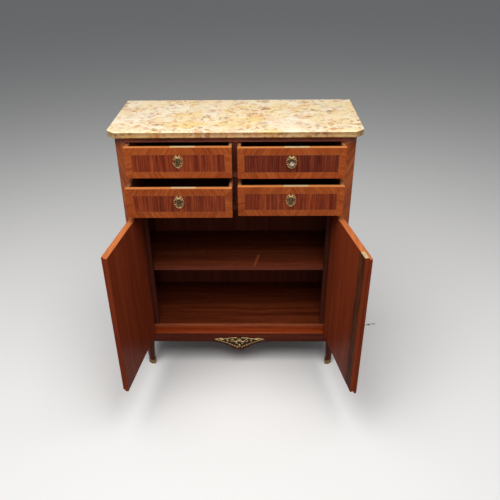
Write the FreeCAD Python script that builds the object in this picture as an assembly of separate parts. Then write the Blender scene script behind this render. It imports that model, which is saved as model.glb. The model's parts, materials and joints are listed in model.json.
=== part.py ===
import math
import os

import FreeCAD
import Part

Vec = FreeCAD.Vector

# Driving sizes, in millimetres. X runs to the right, Y to the back, Z up.
# Everything is drawn closed, with the front face at Y 0, and is then opened and centred.
overall_height = 1027.0
top_width = 900.0
top_depth = 434.0
top_thick = 22.0
overhang_side = 22.0
overhang_front = 18.0
overhang_back = 6.0
cant = 30.0
top_cant = 30.0
post_width = 44.0
post_depth = 44.0
rear_post_depth = 36.0
rail_height = 17.6
rail_depth = 50.0
drawer_opening = 108.8
head_thick = 18.0
leg_height = 123.7
apron_height = 47.3
apron_thick = 22.0
apron_drop = 43.0
apron_drop_half = 119.0
floor_rise = 29.6
floor_thick = 14.0
shelf_height = 469.0
shelf_thick = 18.0
divider_thick = 18.0
side_thick = 19.0
side_recess = 2.0
back_thick = 10.0
leg_block_width = 53.0
stop_width = 40.5
stop_thick = 20.0
rear_rail_thick = 22.0
rear_top_height = 40.0
rear_low_height = 50.0
batten_height = 20.0
batten_width = 16.0
apron_step_depth = 23.0
apron_step_drop = 22.0
mount_rise = 26.0

# Doors
door_thick = 22.0
door_gap = 1.0
left_outer_end = -10.3
left_tongue_end = -2.0
right_lip_end = -9.1
right_board_end = 1.5
rebate_depth = 9.5
strip_thick = 9.0
strip_hold = 13.4
edge_cover = 3.0
left_open = 97.2
right_open = 100.1
bolt_x = 30.0
bolt_y = 14.6
bolt_radius = 1.8
bolt_throw = 10.0

# Hinges
barrel_radius = 4.0
pin_radius = 2.0
pin_clear = 0.05
barrel_proud = 4.3
leaf_thick = 1.8
leaf_depth = 16.0
hinge_length = 64.0
hinge_inset = 62.0

# Drawers
drawer_gap = 1.0
front_thick = 20.0
side_board = 11.0
drawer_end_gap = 4.0
slide_clear = 0.2
tail_lap = 5.0
pull_upper_left = 60.7
pull_upper_right = 69.0
pull_lower_left = 113.7
pull_lower_right = 98.7

# Small clearances
run_clear = 0.3
key_clear = 0.05

# Keys
key_stem = 2.5
door_key_outside = 49.0
door_key_bow = 11.5
door_key_wire = 2.6
door_key_turn = 126.0
drawer_key_outside = 33.0
drawer_key_bow = 8.6
drawer_key_wire = 2.3
drawer_key_turn = 62.0

# Levels worked out from the sizes above
carcass_half = top_width / 2 - overhang_side
carcass_depth = top_depth - overhang_front - overhang_back
carcass_top = overall_height - top_thick
opening_half = carcass_half - post_width
frieze_low = carcass_top - rail_height
upper_low = frieze_low - drawer_opening
mid_low = upper_low - rail_height
lower_low = mid_low - drawer_opening
head_low = lower_low - head_thick
apron_low = leg_height
ledge = apron_low + apron_height
floor_top = ledge + floor_rise
floor_low = floor_top - floor_thick
back_face = carcass_depth - rear_post_depth
back_front = back_face + 6.0
drawer_end = back_face - drawer_end_gap
side_out = carcass_half - side_recess
side_in = side_out - side_thick
leg_in = carcass_half - leg_block_width
half_divider = divider_thick / 2

nodes = {}


def box(x0, x1, y0, y1, z0, z1):
    return Part.makeBox(x1 - x0, y1 - y0, z1 - z0, Vec(x0, y0, z0))


def rod(radius, start, end):
    way = Vec(*end) - Vec(*start)
    return Part.makeCylinder(radius, way.Length, Vec(*start), way)


def in_plane(axis, a, b, level):
    if axis == "z":
        return Vec(a, b, level)
    if axis == "y":
        return Vec(a, level, b)
    return Vec(level, a, b)


def along(axis, length):
    return {"x": Vec(length, 0, 0), "y": Vec(0, length, 0), "z": Vec(0, 0, length)}[axis]


# A prism of a flat outline. An outline is a list of points; a point that is written as
# ("arc", through, end) or ("curve", points) bends the way from the last point to its end.
def outline_wire(axis, outline, level):
    edges = []
    first = in_plane(axis, outline[0][0], outline[0][1], level)
    last = first
    for step in outline[1:]:
        if step[0] == "arc":
            through = in_plane(axis, step[1][0], step[1][1], level)
            end = in_plane(axis, step[2][0], step[2][1], level)
            edges.append(Part.Arc(last, through, end).toShape())
        elif step[0] == "curve":
            points = [last] + [in_plane(axis, p[0], p[1], level) for p in step[1]]
            end = points[-1]
            spline = Part.BSplineCurve()
            spline.interpolate(points)
            edges.append(spline.toShape())
        else:
            end = in_plane(axis, step[0], step[1], level)
            edges.append(Part.makeLine(last, end))
        last = end
    if (last - first).Length > 1e-6:
        edges.append(Part.makeLine(last, first))
    return Part.Wire(edges)


def prism(axis, outline, start, end):
    face = Part.Face(outline_wire(axis, outline, start))
    return face.extrude(along(axis, end - start))


def loft(sections, ruled=False):
    wires = []
    for points, level in sections:
        wires.append(outline_wire("z", points, level))
    return Part.makeLoft(wires, True, ruled)


def fuse(shapes):
    whole = shapes[0]
    for other in shapes[1:]:
        whole = whole.fuse(other)
    return whole.removeSplitter()


def cut(shape, tools):
    for tool in tools:
        shape = shape.cut(tool)
    return shape


def mirrored(shape):
    return shape.mirror(Vec(0, 0, 0), Vec(1, 0, 0))


def group(shapes):
    return Part.makeCompound(shapes)


# Marble top: a flat core and a moulded rim that is swept round the sides, cants and front
def marble():
    half = top_width / 2
    front = -overhang_front
    back = front + top_depth
    low = carcass_top
    high = overall_height
    rim = 24.0

    def ring(inset):
        turn = inset * math.tan(math.radians(22.5))
        return [
            (-half + inset, back),
            (-half + inset, front + top_cant + turn),
            (-half + top_cant + turn, front + inset),
            (half - top_cant - turn, front + inset),
            (half - inset, front + top_cant + turn),
            (half - inset, back),
        ]

    bead = top_thick * 0.17
    waist = low + top_thick * 0.48
    shoulder = low + top_thick * 0.78
    round_drop = high - shoulder
    start = back
    edge = -half
    outline = [
        (edge + rim, low),
        (edge + bead, low),
        ("arc", (edge, low + bead), (edge + bead, low + 2 * bead)),
        ("curve", [(edge + bead + 0.5, waist), (edge + 1.2, shoulder)]),
        ("arc", (edge + 1.2 + round_drop * 0.29, high - round_drop * 0.29), (edge + 1.2 + round_drop, high)),
        (edge + rim, high),
    ]
    profile = outline_wire("y", outline, start)
    path = Part.makePolygon([Vec(x, y, low) for x, y in ring(0.0)])
    sweep = Part.BRepOffsetAPI.MakePipeShell(path)
    sweep.setTransitionMode(1)
    sweep.add(profile)
    sweep.build()
    sweep.makeSolid()
    rim_solid = sweep.shape()
    core = prism("z", ring(rim - 0.5), low, high)
    return fuse([core, rim_solid])


nodes["marble_top"] = marble()


# Front posts: canted stile, leg block and tapered leg from one length of wood
def leg_section(inner, outer, front, back, corner):
    return [
        (inner, front),
        (outer - corner, front),
        (outer, front + corner),
        (outer, back),
        (inner, back),
    ]


ankle_high = 20.0
leg_foot = 3.0
leg_levels = [
    (leg_in, carcass_half, 0.0, post_depth, cant, apron_low),
    (leg_in + 3.0, carcass_half - 12.0, 1.5, post_depth - 7.0, cant - 8.0, apron_low * 0.72),
    (leg_in + 4.2, carcass_half - 20.0, 3.0, post_depth - 13.0, cant - 14.5, apron_low * 0.40),
    (leg_in + 4.8, carcass_half - 24.6, 3.8, post_depth - 16.5, cant - 18.0, leg_foot),
]


def grown(points, size):
    count = len(points)
    moved = []
    for i in range(count):
        ax, ay = points[i - 1]
        bx, by = points[i]
        cx, cy = points[(i + 1) % count]
        ux, uy = bx - ax, by - ay
        vx, vy = cx - bx, cy - by
        ul = math.hypot(ux, uy)
        vl = math.hypot(vx, vy)
        nx, ny = uy / ul, -ux / ul
        mx, my = vy / vl, -vx / vl
        share = 1 + nx * mx + ny * my
        moved.append((bx + size * (nx + mx) / share, by + size * (ny + my) / share))
    return moved


front_sections = [(leg_section(*row[:5]), row[5]) for row in leg_levels]
post_top = leg_section(opening_half, carcass_half, 0.0, post_depth, cant)
front_leg = loft(front_sections)
front_right = fuse([
    prism("z", post_top, ledge, carcass_top),
    prism("z", front_sections[0][0], apron_low, ledge),
    front_leg,
])


# Bronze shoes: a flared cup under each leg
def shoe(section, leg):
    outer = loft([
        (grown(section, 3.4), 0.0),
        (grown(section, 2.9), 4.0),
        (grown(section, 1.6), 9.0),
        (grown(section, 2.2), ankle_high - 3.0),
        (grown(section, 2.6), ankle_high),
    ], True)
    return outer.cut(leg)


rear_leg_levels = [
    (leg_in + 4.0, carcass_half, back_face, carcass_depth, apron_low),
    (leg_in + 7.0, carcass_half - 12.0, back_face + 5.0, carcass_depth - 2.0, apron_low * 0.72),
    (leg_in + 8.2, carcass_half - 18.0, back_face + 8.0, carcass_depth - 3.0, apron_low * 0.40),
    (leg_in + 8.8, carcass_half - 21.0, back_face + 9.5, carcass_depth - 4.0, leg_foot),
]
rear_sections = [
    ([(a, c), (b, c), (b, d), (a, d)], z) for a, b, c, d, z in rear_leg_levels
]
rear_leg = loft(rear_sections)
rear_right = fuse([
    box(opening_half, carcass_half, back_face, carcass_depth, apron_low, carcass_top),
    rear_leg,
])
front_shoe = shoe(front_sections[-1][0], front_leg)
rear_shoe = shoe(rear_sections[-1][0], rear_leg)
nodes["sabots"] = group([front_shoe, mirrored(front_shoe), rear_shoe, mirrored(rear_shoe)])

# Side panels, tongued into grooves in the posts
tongue = 8.0
tongue_in = side_in + 4.5
tongue_out = side_out - 4.5
side_panel = fuse([
    box(side_in, side_out, post_depth, back_face, apron_low, carcass_top),
    box(tongue_in, tongue_out, post_depth - tongue, back_face + tongue, apron_low, carcass_top),
])
nodes["side_panel_right"] = side_panel
nodes["side_panel_left"] = mirrored(side_panel)

# Rails between the posts, with stub tenons
tenon = 14.0


def rail_tenon(z0, z1, y0, y1):
    return box(opening_half, opening_half + tenon, y0, y1, z0, z1)


frieze_tenon = rail_tenon(frieze_low + 4.8, carcass_top - 4.8, 12.0, 36.0)
mid_tenon = rail_tenon(mid_low + 4.8, upper_low - 4.8, 12.0, 36.0)
head_tenon = rail_tenon(head_low + 5.0, lower_low - 5.0, 12.0, 36.0)
apron_tenon = box(leg_in, leg_in + tenon, 6.0, 16.0, apron_low + 8.0, ledge - 10.0)
rear_top_low = carcass_top - rear_top_height
rear_rail_back = back_face + rear_rail_thick
rear_tenon_high = rail_tenon(rear_top_low + 6, carcass_top - 6, back_face + 7, back_face + 15)
rear_low_low = floor_low - rear_low_height
rear_tenon_low = rail_tenon(rear_low_low + 6, floor_low - 6, back_face + 7, back_face + 15)
panel_groove = 6.0
back_panel = box(
    -opening_half - panel_groove,
    opening_half + panel_groove,
    back_front,
    back_front + back_thick,
    floor_low - panel_groove,
    rear_top_low + panel_groove,
)
nodes["back_panel"] = back_panel
rear_rail_high = cut(fuse([
    box(-opening_half, opening_half, back_face, rear_rail_back, rear_top_low, carcass_top),
    rear_tenon_high,
    mirrored(rear_tenon_high),
]), [back_panel])
rear_rail_low = cut(fuse([
    box(-opening_half, opening_half, back_face, rear_rail_back, rear_low_low, floor_low),
    rear_tenon_low,
    mirrored(rear_tenon_low),
]), [back_panel])
nodes["rear_rails"] = group([rear_rail_high, rear_rail_low])

# Hinge positions, and the leaves that are let into the posts and the door edges
hinge_x = opening_half - door_gap / 2
hinge_y = -barrel_proud
door_low = ledge + door_gap
door_high = head_low - door_gap
hinge_lows = [door_low + hinge_inset, door_high - hinge_inset - hinge_length]
knuckle = hinge_length / 3


def hinge_pair(z0):
    z1 = z0 + hinge_length
    a = z0 + knuckle
    b = z1 - knuckle
    fixed_in = hinge_x + 0.1
    fixed_out = fixed_in + leaf_thick
    moving_out = hinge_x - 0.1
    moving_in = moving_out - leaf_thick
    pin = rod(pin_radius, (hinge_x, hinge_y, z0), (hinge_x, hinge_y, z1))
    fixed = [box(fixed_in, fixed_out, 0.0, leaf_depth, z0, z1)]
    for low, high in ((z0, a - 0.15), (b + 0.15, z1)):
        fixed.append(rod(barrel_radius, (hinge_x, hinge_y, low), (hinge_x, hinge_y, high)))
        fixed.append(box(fixed_in, fixed_out, hinge_y, 0.0, low, high))
    fixed.append(pin)
    bore = rod(pin_radius + pin_clear, (hinge_x, hinge_y, z0), (hinge_x, hinge_y, z1))
    moving = fuse([
        box(moving_in, moving_out, 0.0, leaf_depth, z0, z1),
        rod(barrel_radius, (hinge_x, hinge_y, a + 0.15), (hinge_x, hinge_y, b - 0.15)),
        box(moving_in, moving_out, hinge_y, 0.0, a + 0.15, b - 0.15),
    ]).cut(bore)
    post_seat = box(opening_half - 1.0, fixed_out, -1.0, leaf_depth, z0, z1)
    door_seat = box(moving_in, hinge_x, -1.0, leaf_depth, z0, z1)
    return fuse(fixed), moving, post_seat, door_seat


hinge_sets = [hinge_pair(z) for z in hinge_lows]
fixed_leaves = [s[0] for s in hinge_sets]
moving_leaves = [s[1] for s in hinge_sets]
post_seats = [s[2] for s in hinge_sets]
door_seats = [s[3] for s in hinge_sets]
nodes["carcass_hinge_leaves"] = group(fixed_leaves + [mirrored(s) for s in fixed_leaves])

front_cuts = [side_panel, frieze_tenon, mid_tenon, head_tenon, apron_tenon] + post_seats
front_right = cut(front_right, front_cuts)
rear_right = cut(rear_right, [side_panel, rear_tenon_high, rear_tenon_low, back_panel])
nodes["post_front_right"] = front_right
nodes["post_front_left"] = mirrored(front_right)
nodes["post_rear_right"] = rear_right
nodes["post_rear_left"] = mirrored(rear_right)

# Drawers: lapped dovetails at the front corners, housed back, grooved bottom, lock and plate
lock_left = 26.0
lock_right = 60.0
lock_drop = 66.0
key_drop = 48.5
lock_plate = 2.0
lock_case = 12.0
selvedge_wide = 14.0
bolt_slot_left = 14.0
bolt_slot_right = 28.6
bolt_slot_near = 9.2
bolt_slot_far = 4.8
bolt_slot_drop = 15.3
drawer_throw = 8.0
escutcheon_thick = 2.5


def keyhole(x, z, y0, y1, radius, slot):
    shape = rod(radius, (x, y0, z), (x, y1, z))
    return shape.fuse(box(x - radius * 0.45, x + radius * 0.45, y0, y1, z - slot, z))


def escutcheon(x, y, z):
    wide = 19.0
    outline = [
        (x, z + 17.5),
        ("curve", [(x + 6.5, z + 23.0), (x + 14.0, z + 19.5), (x + wide, z + 8.0)]),
        ("curve", [(x + wide - 0.5, z - 2.0), (x + wide - 3.0, z - 11.0)]),
        ("curve", [(x + 8.0, z - 17.0), (x, z - 24.0)]),
        ("curve", [(x - 8.0, z - 17.0), (x - wide + 3.0, z - 11.0)]),
        ("curve", [(x - wide + 0.5, z - 2.0), (x - wide, z + 8.0)]),
        ("curve", [(x - 14.0, z + 19.5), (x - 6.5, z + 23.0), (x, z + 17.5)]),
    ]
    plate = prism("y", outline, y - escutcheon_thick, y)
    return plate.cut(keyhole(x, z, y - escutcheon_thick - 1, y + 1, 3.2, 8.0))


def key_shape(x, z, tip, face, outside, bow, wire, turn):
    bow_y = face - outside + bow + wire
    ring = Part.makeTorus(bow, wire, Vec(x, bow_y, z), Vec(1, 0, 0))
    stem = rod(key_stem, (x, tip, z), (x, bow_y + bow, z))
    collar = rod(4.4, (x, face - 9.0, z), (x, face - 6.0, z))
    bit = box(x - 1.4, x + 1.4, tip - 5.5, tip - 0.5, z - 7.6, z)
    key = fuse([stem, collar, ring, bit])
    key.rotate(Vec(x, 0, z), Vec(0, 1, 0), turn)
    return key


def make_drawer(name, x0, x1, z0, z1, pull, with_key):
    left = x0 + drawer_gap
    right = x1 - drawer_gap
    low = z0 + drawer_gap
    high = z1 - drawer_gap
    side_low = z0 + slide_clear
    side_high = high - 3.0
    middle = (left + right) / 2
    key_z = high - key_drop
    end = drawer_end
    bottom_low = side_low + 8.0
    bottom_high = bottom_low + 7.0
    bottom = box(left + side_board - 5, right - side_board + 5, front_thick - 6, end - 10,
                 bottom_low, bottom_high)
    back = box(left + side_board - 4, right - side_board + 4, end - 20, end - 10, bottom_high, side_high - 5)

    # Tails: three to a corner, wider at their ends, in the front's lapped sockets
    tails = {left: [], right: []}
    pitch = (side_high - low) / 3
    for i in range(3):
        centre = low + pitch * (i + 0.5)
        root = pitch * 0.27
        tip = pitch * 0.38
        points = [
            (front_thick, centre - root),
            (front_thick, centre + root),
            (tail_lap, centre + tip),
            (tail_lap, centre - tip),
        ]
        tails[left].append(prism("x", points, left, left + side_board))
        tails[right].append(prism("x", points, right - side_board, right))
    sides = []
    for edge, start in ((left, left), (right, right - side_board)):
        board = box(start, start + side_board, front_thick, end, side_low, side_high)
        sides.append(cut(fuse([board] + tails[edge]), [bottom, back]))

    # Lock: back plate, case and selvedge in one, let into the front from behind and above
    case = [
        box(middle - lock_left, middle + lock_right, front_thick - lock_plate, front_thick,
            high - lock_drop, high),
        box(middle - lock_left + 6, middle + lock_right - 6, front_thick - lock_case, front_thick - lock_plate,
            high - lock_drop + 4, high - 1),
        box(middle - lock_left, middle + lock_right, front_thick - selvedge_wide, front_thick,
            high - 2.2, high),
    ]
    lock = fuse(case)
    pocket = lock.copy()
    stem_hole = rod(key_stem + key_clear, (middle, 0, key_z), (middle, front_thick - 2.5, key_z))
    ward = rod(8.4, (middle, front_thick - lock_case + 1.5, key_z), (middle, front_thick - 3.0, key_z))
    lock = cut(lock, [stem_hole, ward])
    if with_key:
        slot_low = high - bolt_slot_drop
        slot = box(middle + bolt_slot_left, middle + bolt_slot_right, front_thick - bolt_slot_near,
                   front_thick - bolt_slot_far, slot_low, high + 1)
        lock = lock.cut(slot)
        bolt = box(middle + bolt_slot_left + run_clear, middle + bolt_slot_right - run_clear,
                   front_thick - bolt_slot_near + run_clear, front_thick - bolt_slot_far - run_clear,
                   slot_low + 1.0, high - 0.3)
        nodes[name + "_bolt"] = bolt
        nodes[name + "_key"] = key_shape(middle, key_z, front_thick - 3.5, -escutcheon_thick,
                                         drawer_key_outside, drawer_key_bow, drawer_key_wire, drawer_key_turn)
    front = box(left, right, 0.0, front_thick, low, high)
    front = cut(front, tails[left] + tails[right] + [bottom, pocket])
    front = front.cut(keyhole(middle, key_z, -1, front_thick - lock_case + 0.5, 4.2, 9.5))
    nodes[name + "_front"] = front
    nodes[name + "_sides"] = group(sides)
    nodes[name + "_back"] = back
    nodes[name + "_bottom"] = bottom
    nodes[name + "_lock"] = lock
    nodes[name + "_escutcheon"] = escutcheon(middle, 0.0, key_z)
    for node in list(nodes):
        if node.startswith(name):
            nodes[node].translate(Vec(0, -pull, 0))
    return middle


upper_mid_right = make_drawer("drawer_upper_right", half_divider, opening_half, upper_low, frieze_low,
                              pull_upper_right, True)
upper_mid_left = make_drawer("drawer_upper_left", -opening_half, -half_divider, upper_low, frieze_low,
                             pull_upper_left, False)
lower_mid_right = make_drawer("drawer_lower_right", half_divider, opening_half, lower_low, mid_low,
                              pull_lower_right, False)
lower_mid_left = make_drawer("drawer_lower_left", -opening_half, -half_divider, lower_low, mid_low,
                             pull_lower_left, False)


# Keeper mortises above each drawer lock
def keeper(middle, low):
    return box(middle + bolt_slot_left - 1, middle + bolt_slot_right + 1, front_thick - bolt_slot_near - 1,
               front_thick - bolt_slot_far + 1, low - 1, low + drawer_throw + 2)


nodes["frieze_rail"] = cut(fuse([
    box(-opening_half, opening_half, 0.0, rail_depth, frieze_low, carcass_top),
    frieze_tenon,
    mirrored(frieze_tenon),
]), [keeper(upper_mid_left, frieze_low), keeper(upper_mid_right, frieze_low)])
nodes["mid_rail"] = cut(fuse([
    box(-opening_half, opening_half, 0.0, rail_depth, mid_low, upper_low),
    mid_tenon,
    mirrored(mid_tenon),
]), [keeper(lower_mid_left, mid_low), keeper(lower_mid_right, mid_low)])

# Head board between the drawers and the cupboard, notched round the posts
hole_radius = bolt_radius + 0.6
upper_bolt_hole = rod(hole_radius, (bolt_x, bolt_y, head_low - 1), (bolt_x, bolt_y, head_low + bolt_throw + 2))
notched = [
    (-opening_half, 0.0),
    (opening_half, 0.0),
    (opening_half, post_depth),
    (side_in, post_depth),
    (side_in, back_face),
    (opening_half, back_face),
    (opening_half, back_front),
    (-opening_half, back_front),
    (-opening_half, back_face),
    (-side_in, back_face),
    (-side_in, post_depth),
    (-opening_half, post_depth),
]
nodes["head_board"] = cut(fuse([
    prism("z", notched, head_low, lower_low),
    head_tenon,
    mirrored(head_tenon),
]), [upper_bolt_hole])

# Floor board, from behind the doors to the back
floor_front = door_thick + 3.0
floor_shape = [(x, max(y, floor_front)) for x, y in notched]
nodes["floor_board"] = prism("z", floor_shape, floor_low, floor_top)

# Dividers between the drawer pairs, and the runners and guides the drawers slide on
nodes["drawer_dividers"] = group([
    box(-half_divider, half_divider, 0.0, back_face, upper_low, frieze_low),
    box(-half_divider, half_divider, 0.0, back_front, lower_low, mid_low),
])
runner_in = opening_half - 24.0
upper_side_runner = box(runner_in, side_in, rail_depth, back_face, mid_low, upper_low)
centre_runner = box(-34.0, 34.0, rail_depth, back_front, mid_low, upper_low)
upper_guide = box(opening_half, side_in, post_depth, back_face, upper_low, frieze_low)
lower_guide = box(opening_half, side_in, post_depth, back_face, lower_low, mid_low)
nodes["drawer_runners"] = group([
    upper_side_runner,
    mirrored(upper_side_runner),
    centre_runner,
    upper_guide,
    mirrored(upper_guide),
    lower_guide,
    mirrored(lower_guide),
])

# Cupboard inside: stops for the doors, shelf and its battens
stop_in = opening_half - stop_width
stop_front = door_thick + 2.0
door_stop = box(stop_in, opening_half, stop_front, stop_front + stop_thick, floor_top, head_low)
nodes["door_stops"] = group([door_stop, mirrored(door_stop)])
shelf_front = stop_front + stop_thick + 2.0
shelf_low = shelf_height - shelf_thick
shelf_side = side_in - 1.0
nodes["shelf"] = prism("z", [
    (-shelf_side, shelf_front),
    (shelf_side, shelf_front),
    (shelf_side, back_face - 1.0),
    (opening_half - 1.0, back_face - 1.0),
    (opening_half - 1.0, back_front - 2.0),
    (-opening_half + 1.0, back_front - 2.0),
    (-opening_half + 1.0, back_face - 1.0),
    (-shelf_side, back_face - 1.0),
], shelf_low, shelf_height)
batten = box(side_in - batten_width, side_in, post_depth + 6.0, back_face, shelf_low - batten_height, shelf_low)
nodes["shelf_battens"] = group([batten, mirrored(batten)])

# Apron: front board with a shaped drop, rounded top arris, and a step that carries the floor board
lower_bolt_hole = rod(hole_radius, (bolt_x, bolt_y, ledge + 1), (bolt_x, bolt_y, ledge - bolt_throw - 2))
drop_low = apron_low - apron_drop
half = apron_drop_half
apron_front = prism("y", [
    (-leg_in, apron_low),
    (-half, apron_low),
    ("curve", [(-half * 0.72, apron_low - apron_drop * 0.14), (-half * 0.46, apron_low - apron_drop * 0.45),
               (-half * 0.22, apron_low - apron_drop * 0.84), (0.0, drop_low)]),
    ("curve", [(half * 0.22, apron_low - apron_drop * 0.84), (half * 0.46, apron_low - apron_drop * 0.45),
               (half * 0.72, apron_low - apron_drop * 0.14), (half, apron_low)]),
    (leg_in, apron_low),
    (leg_in, ledge),
    (-leg_in, ledge),
], 0.0, apron_thick)
arris = 7.0
apron_section = prism("x", [
    (0.0, drop_low - 1.0),
    (apron_thick, drop_low - 1.0),
    (apron_thick, ledge),
    (arris, ledge),
    ("arc", (arris * 0.29, ledge - arris * 0.29), (0.0, ledge - arris)),
], -leg_in, leg_in)
apron_step = prism("x", [
    (apron_thick, ledge - apron_step_drop),
    (apron_thick + apron_step_depth, ledge - apron_step_drop),
    (apron_thick + apron_step_depth, floor_low),
    (floor_front, floor_low),
    (floor_front, ledge),
    (apron_thick, ledge),
], -leg_in, leg_in)
step_notch = box(opening_half - 10.5, carcass_half, apron_thick + 3, post_depth + 5, ledge, floor_low + 1)
apron_step = cut(apron_step, [step_notch, mirrored(step_notch)])
nodes["apron_rail"] = cut(fuse([
    apron_front.common(apron_section),
    apron_step,
    apron_tenon,
    mirrored(apron_tenon),
]), [lower_bolt_hole])


# Bronze mount on the apron: a pierced plate in the drop's own line
def apron_mount():
    reach = apron_drop_half * 0.94
    high = apron_low + mount_rise
    wing = apron_low + 13.0
    plate = prism("y", [
        (-reach, wing),
        ("curve", [(-reach * 0.74, wing - 12.0), (-reach * 0.48, apron_low - apron_drop * 0.30),
                   (-reach * 0.24, apron_low - apron_drop * 0.55), (0.0, apron_low - apron_drop * 0.75)]),
        ("curve", [(reach * 0.24, apron_low - apron_drop * 0.55), (reach * 0.48, apron_low - apron_drop * 0.30),
                   (reach * 0.74, wing - 12.0), (reach, wing)]),
        ("curve", [(reach * 0.80, wing + 5.0), (reach * 0.45, wing + 5.5), (0.0, high)]),
        ("curve", [(-reach * 0.45, wing + 5.5), (-reach * 0.80, wing + 5.0), (-reach, wing)]),
    ], -3.0, 0.0)
    eyes = []
    for side in (-1, 1):
        for share, rise, radius in ((0.30, -2.0, 7.5), (0.55, 6.0, 5.0), (0.74, 10.5, 3.0)):
            x = side * reach * share
            eyes.append(rod(radius, (x, -4.0, apron_low + rise), (x, 1.0, apron_low + rise)))
    return cut(plate, eyes)


nodes["apron_mount"] = apron_mount()

# Left door: one board with a rebate along its meeting edge
door_edge = opening_half - door_gap
left_board = prism("z", [
    (-door_edge, 0.0),
    (left_outer_end, 0.0),
    (left_outer_end, rebate_depth),
    (left_tongue_end, rebate_depth),
    (left_tongue_end, door_thick),
    (-door_edge, door_thick),
], door_low, door_high)
left_parts = {
    "door_left": cut(left_board, [mirrored(s) for s in door_seats]),
    "door_left_hinge_leaves": group([mirrored(s) for s in moving_leaves]),
}

# Right door: board, closing strip that laps over the edge, mortised lock, edge plates, two bolts and the key
strip_in = right_board_end + strip_hold
covered_edge = right_board_end + edge_cover
right_board = prism("z", [
    (strip_in, 0.0),
    (door_edge, 0.0),
    (door_edge, door_thick),
    (covered_edge, door_thick),
    (covered_edge, strip_thick),
    (strip_in, strip_thick),
], door_low, door_high)
strip = prism("z", [
    (strip_in, 0.0),
    (strip_in, strip_thick),
    (covered_edge, strip_thick),
    (covered_edge, door_thick),
    (right_board_end, door_thick),
    (right_board_end, strip_thick),
    (right_lip_end + 1.0, strip_thick),
    ("arc", (right_lip_end + 0.29, strip_thick - 0.29), (right_lip_end, strip_thick - 1.0)),
    (right_lip_end, 3.0),
    ("arc", (right_lip_end + 0.88, 0.88), (right_lip_end + 3.0, 0.0)),
], door_low, door_high)
lock_z = (door_low + door_high) / 2
case_y0 = strip_thick + 0.8
case_y1 = door_thick - 2.2
lock_half = 46.0
lock_plate_half = 60.0
lock_body = fuse([
    box(covered_edge, covered_edge + 2.0, case_y0, case_y1, lock_z - lock_plate_half, lock_z + lock_plate_half),
    box(covered_edge + 2.0, bolt_x + 24.0, case_y0, case_y1, lock_z - lock_half, lock_z + lock_half),
])
lock_pocket = lock_body.copy()
door_stem = rod(key_stem + key_clear, (bolt_x, 0, lock_z), (bolt_x, case_y1 - 1.5, lock_z))
door_ward = rod(8.4, (bolt_x, case_y0 + 1.5, lock_z), (bolt_x, case_y1 - 1.8, lock_z))
rod_start = 20.0
bore_up = rod(bolt_radius + run_clear, (bolt_x, bolt_y, lock_z + rod_start), (bolt_x, bolt_y, door_high + 1))
bore_down = rod(bolt_radius + run_clear, (bolt_x, bolt_y, lock_z - rod_start), (bolt_x, bolt_y, door_low - 1))
plate_end = bolt_x + 18.0
plate_up = box(covered_edge, plate_end, strip_thick, door_thick, door_high - 2.0, door_high)
plate_down = box(covered_edge, plate_end, strip_thick, door_thick, door_low, door_low + 2.0)
right_parts = {
    "door_right": cut(right_board, door_seats + [
        lock_pocket, bore_up, bore_down, plate_up, plate_down,
        keyhole(bolt_x, lock_z, -1, case_y0 + 0.5, 4.2, 9.5),
    ]),
    "door_right_hinge_leaves": group([s.copy() for s in moving_leaves]),
    "closing_strip": strip,
    "door_lock": cut(lock_body, [door_stem, door_ward, bore_up, bore_down]),
    "bolt_plates": group([plate_up.cut(bore_up), plate_down.cut(bore_down)]),
    "door_escutcheon": escutcheon(bolt_x, 0.0, lock_z),
    "upper_bolt": rod(bolt_radius, (bolt_x, bolt_y, lock_z + rod_start + 1.0),
                      (bolt_x, bolt_y, door_high - 0.3)),
    "lower_bolt": rod(bolt_radius, (bolt_x, bolt_y, lock_z - rod_start - 1.0),
                      (bolt_x, bolt_y, door_low + 0.3)),
    "door_key": key_shape(bolt_x, lock_z, case_y1 - 2.2, -escutcheon_thick, door_key_outside, door_key_bow,
                          door_key_wire, door_key_turn),
}

# Open the doors about their pins
for name, shape in left_parts.items():
    shape.rotate(Vec(-hinge_x, hinge_y, 0), Vec(0, 0, 1), -left_open)
    nodes[name] = shape
for name, shape in right_parts.items():
    shape.rotate(Vec(hinge_x, hinge_y, 0), Vec(0, 0, 1), right_open)
    nodes[name] = shape

# Centre the open cabinet on the origin and write each piece
limits = group(list(nodes.values())).BoundBox
shift = Vec(-round((limits.XMin + limits.XMax) / 2, 1), -round((limits.YMin + limits.YMax) / 2, 1), 0)
os.makedirs("parts", exist_ok=True)
for name, shape in nodes.items():
    shape.translate(shift)
    shape.exportStep(os.path.join("parts", name + ".step"))
    solids = shape.Solids
    volume = sum(s.Volume for s in solids)
    print(name, len(solids), round(volume), "valid" if shape.isValid() else "NOT VALID")
print("nodes", len(nodes))
print("shift", shift.x, shift.y)
print("hinge", hinge_x + shift.x, -hinge_x + shift.x, hinge_y + shift.y)
print("levels", carcass_top, frieze_low, upper_low, mid_low, lower_low, head_low, ledge, apron_low, floor_top)
print("door", door_low, door_high, "lock", lock_z, "drawer middles", upper_mid_left, upper_mid_right)
print("box", limits.XMin, limits.XMax, limits.YMin, limits.YMax, limits.ZMin, limits.ZMax)
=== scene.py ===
import json
import math
import random

import bmesh
import bpy
from mathutils import Matrix, Vector

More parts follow.
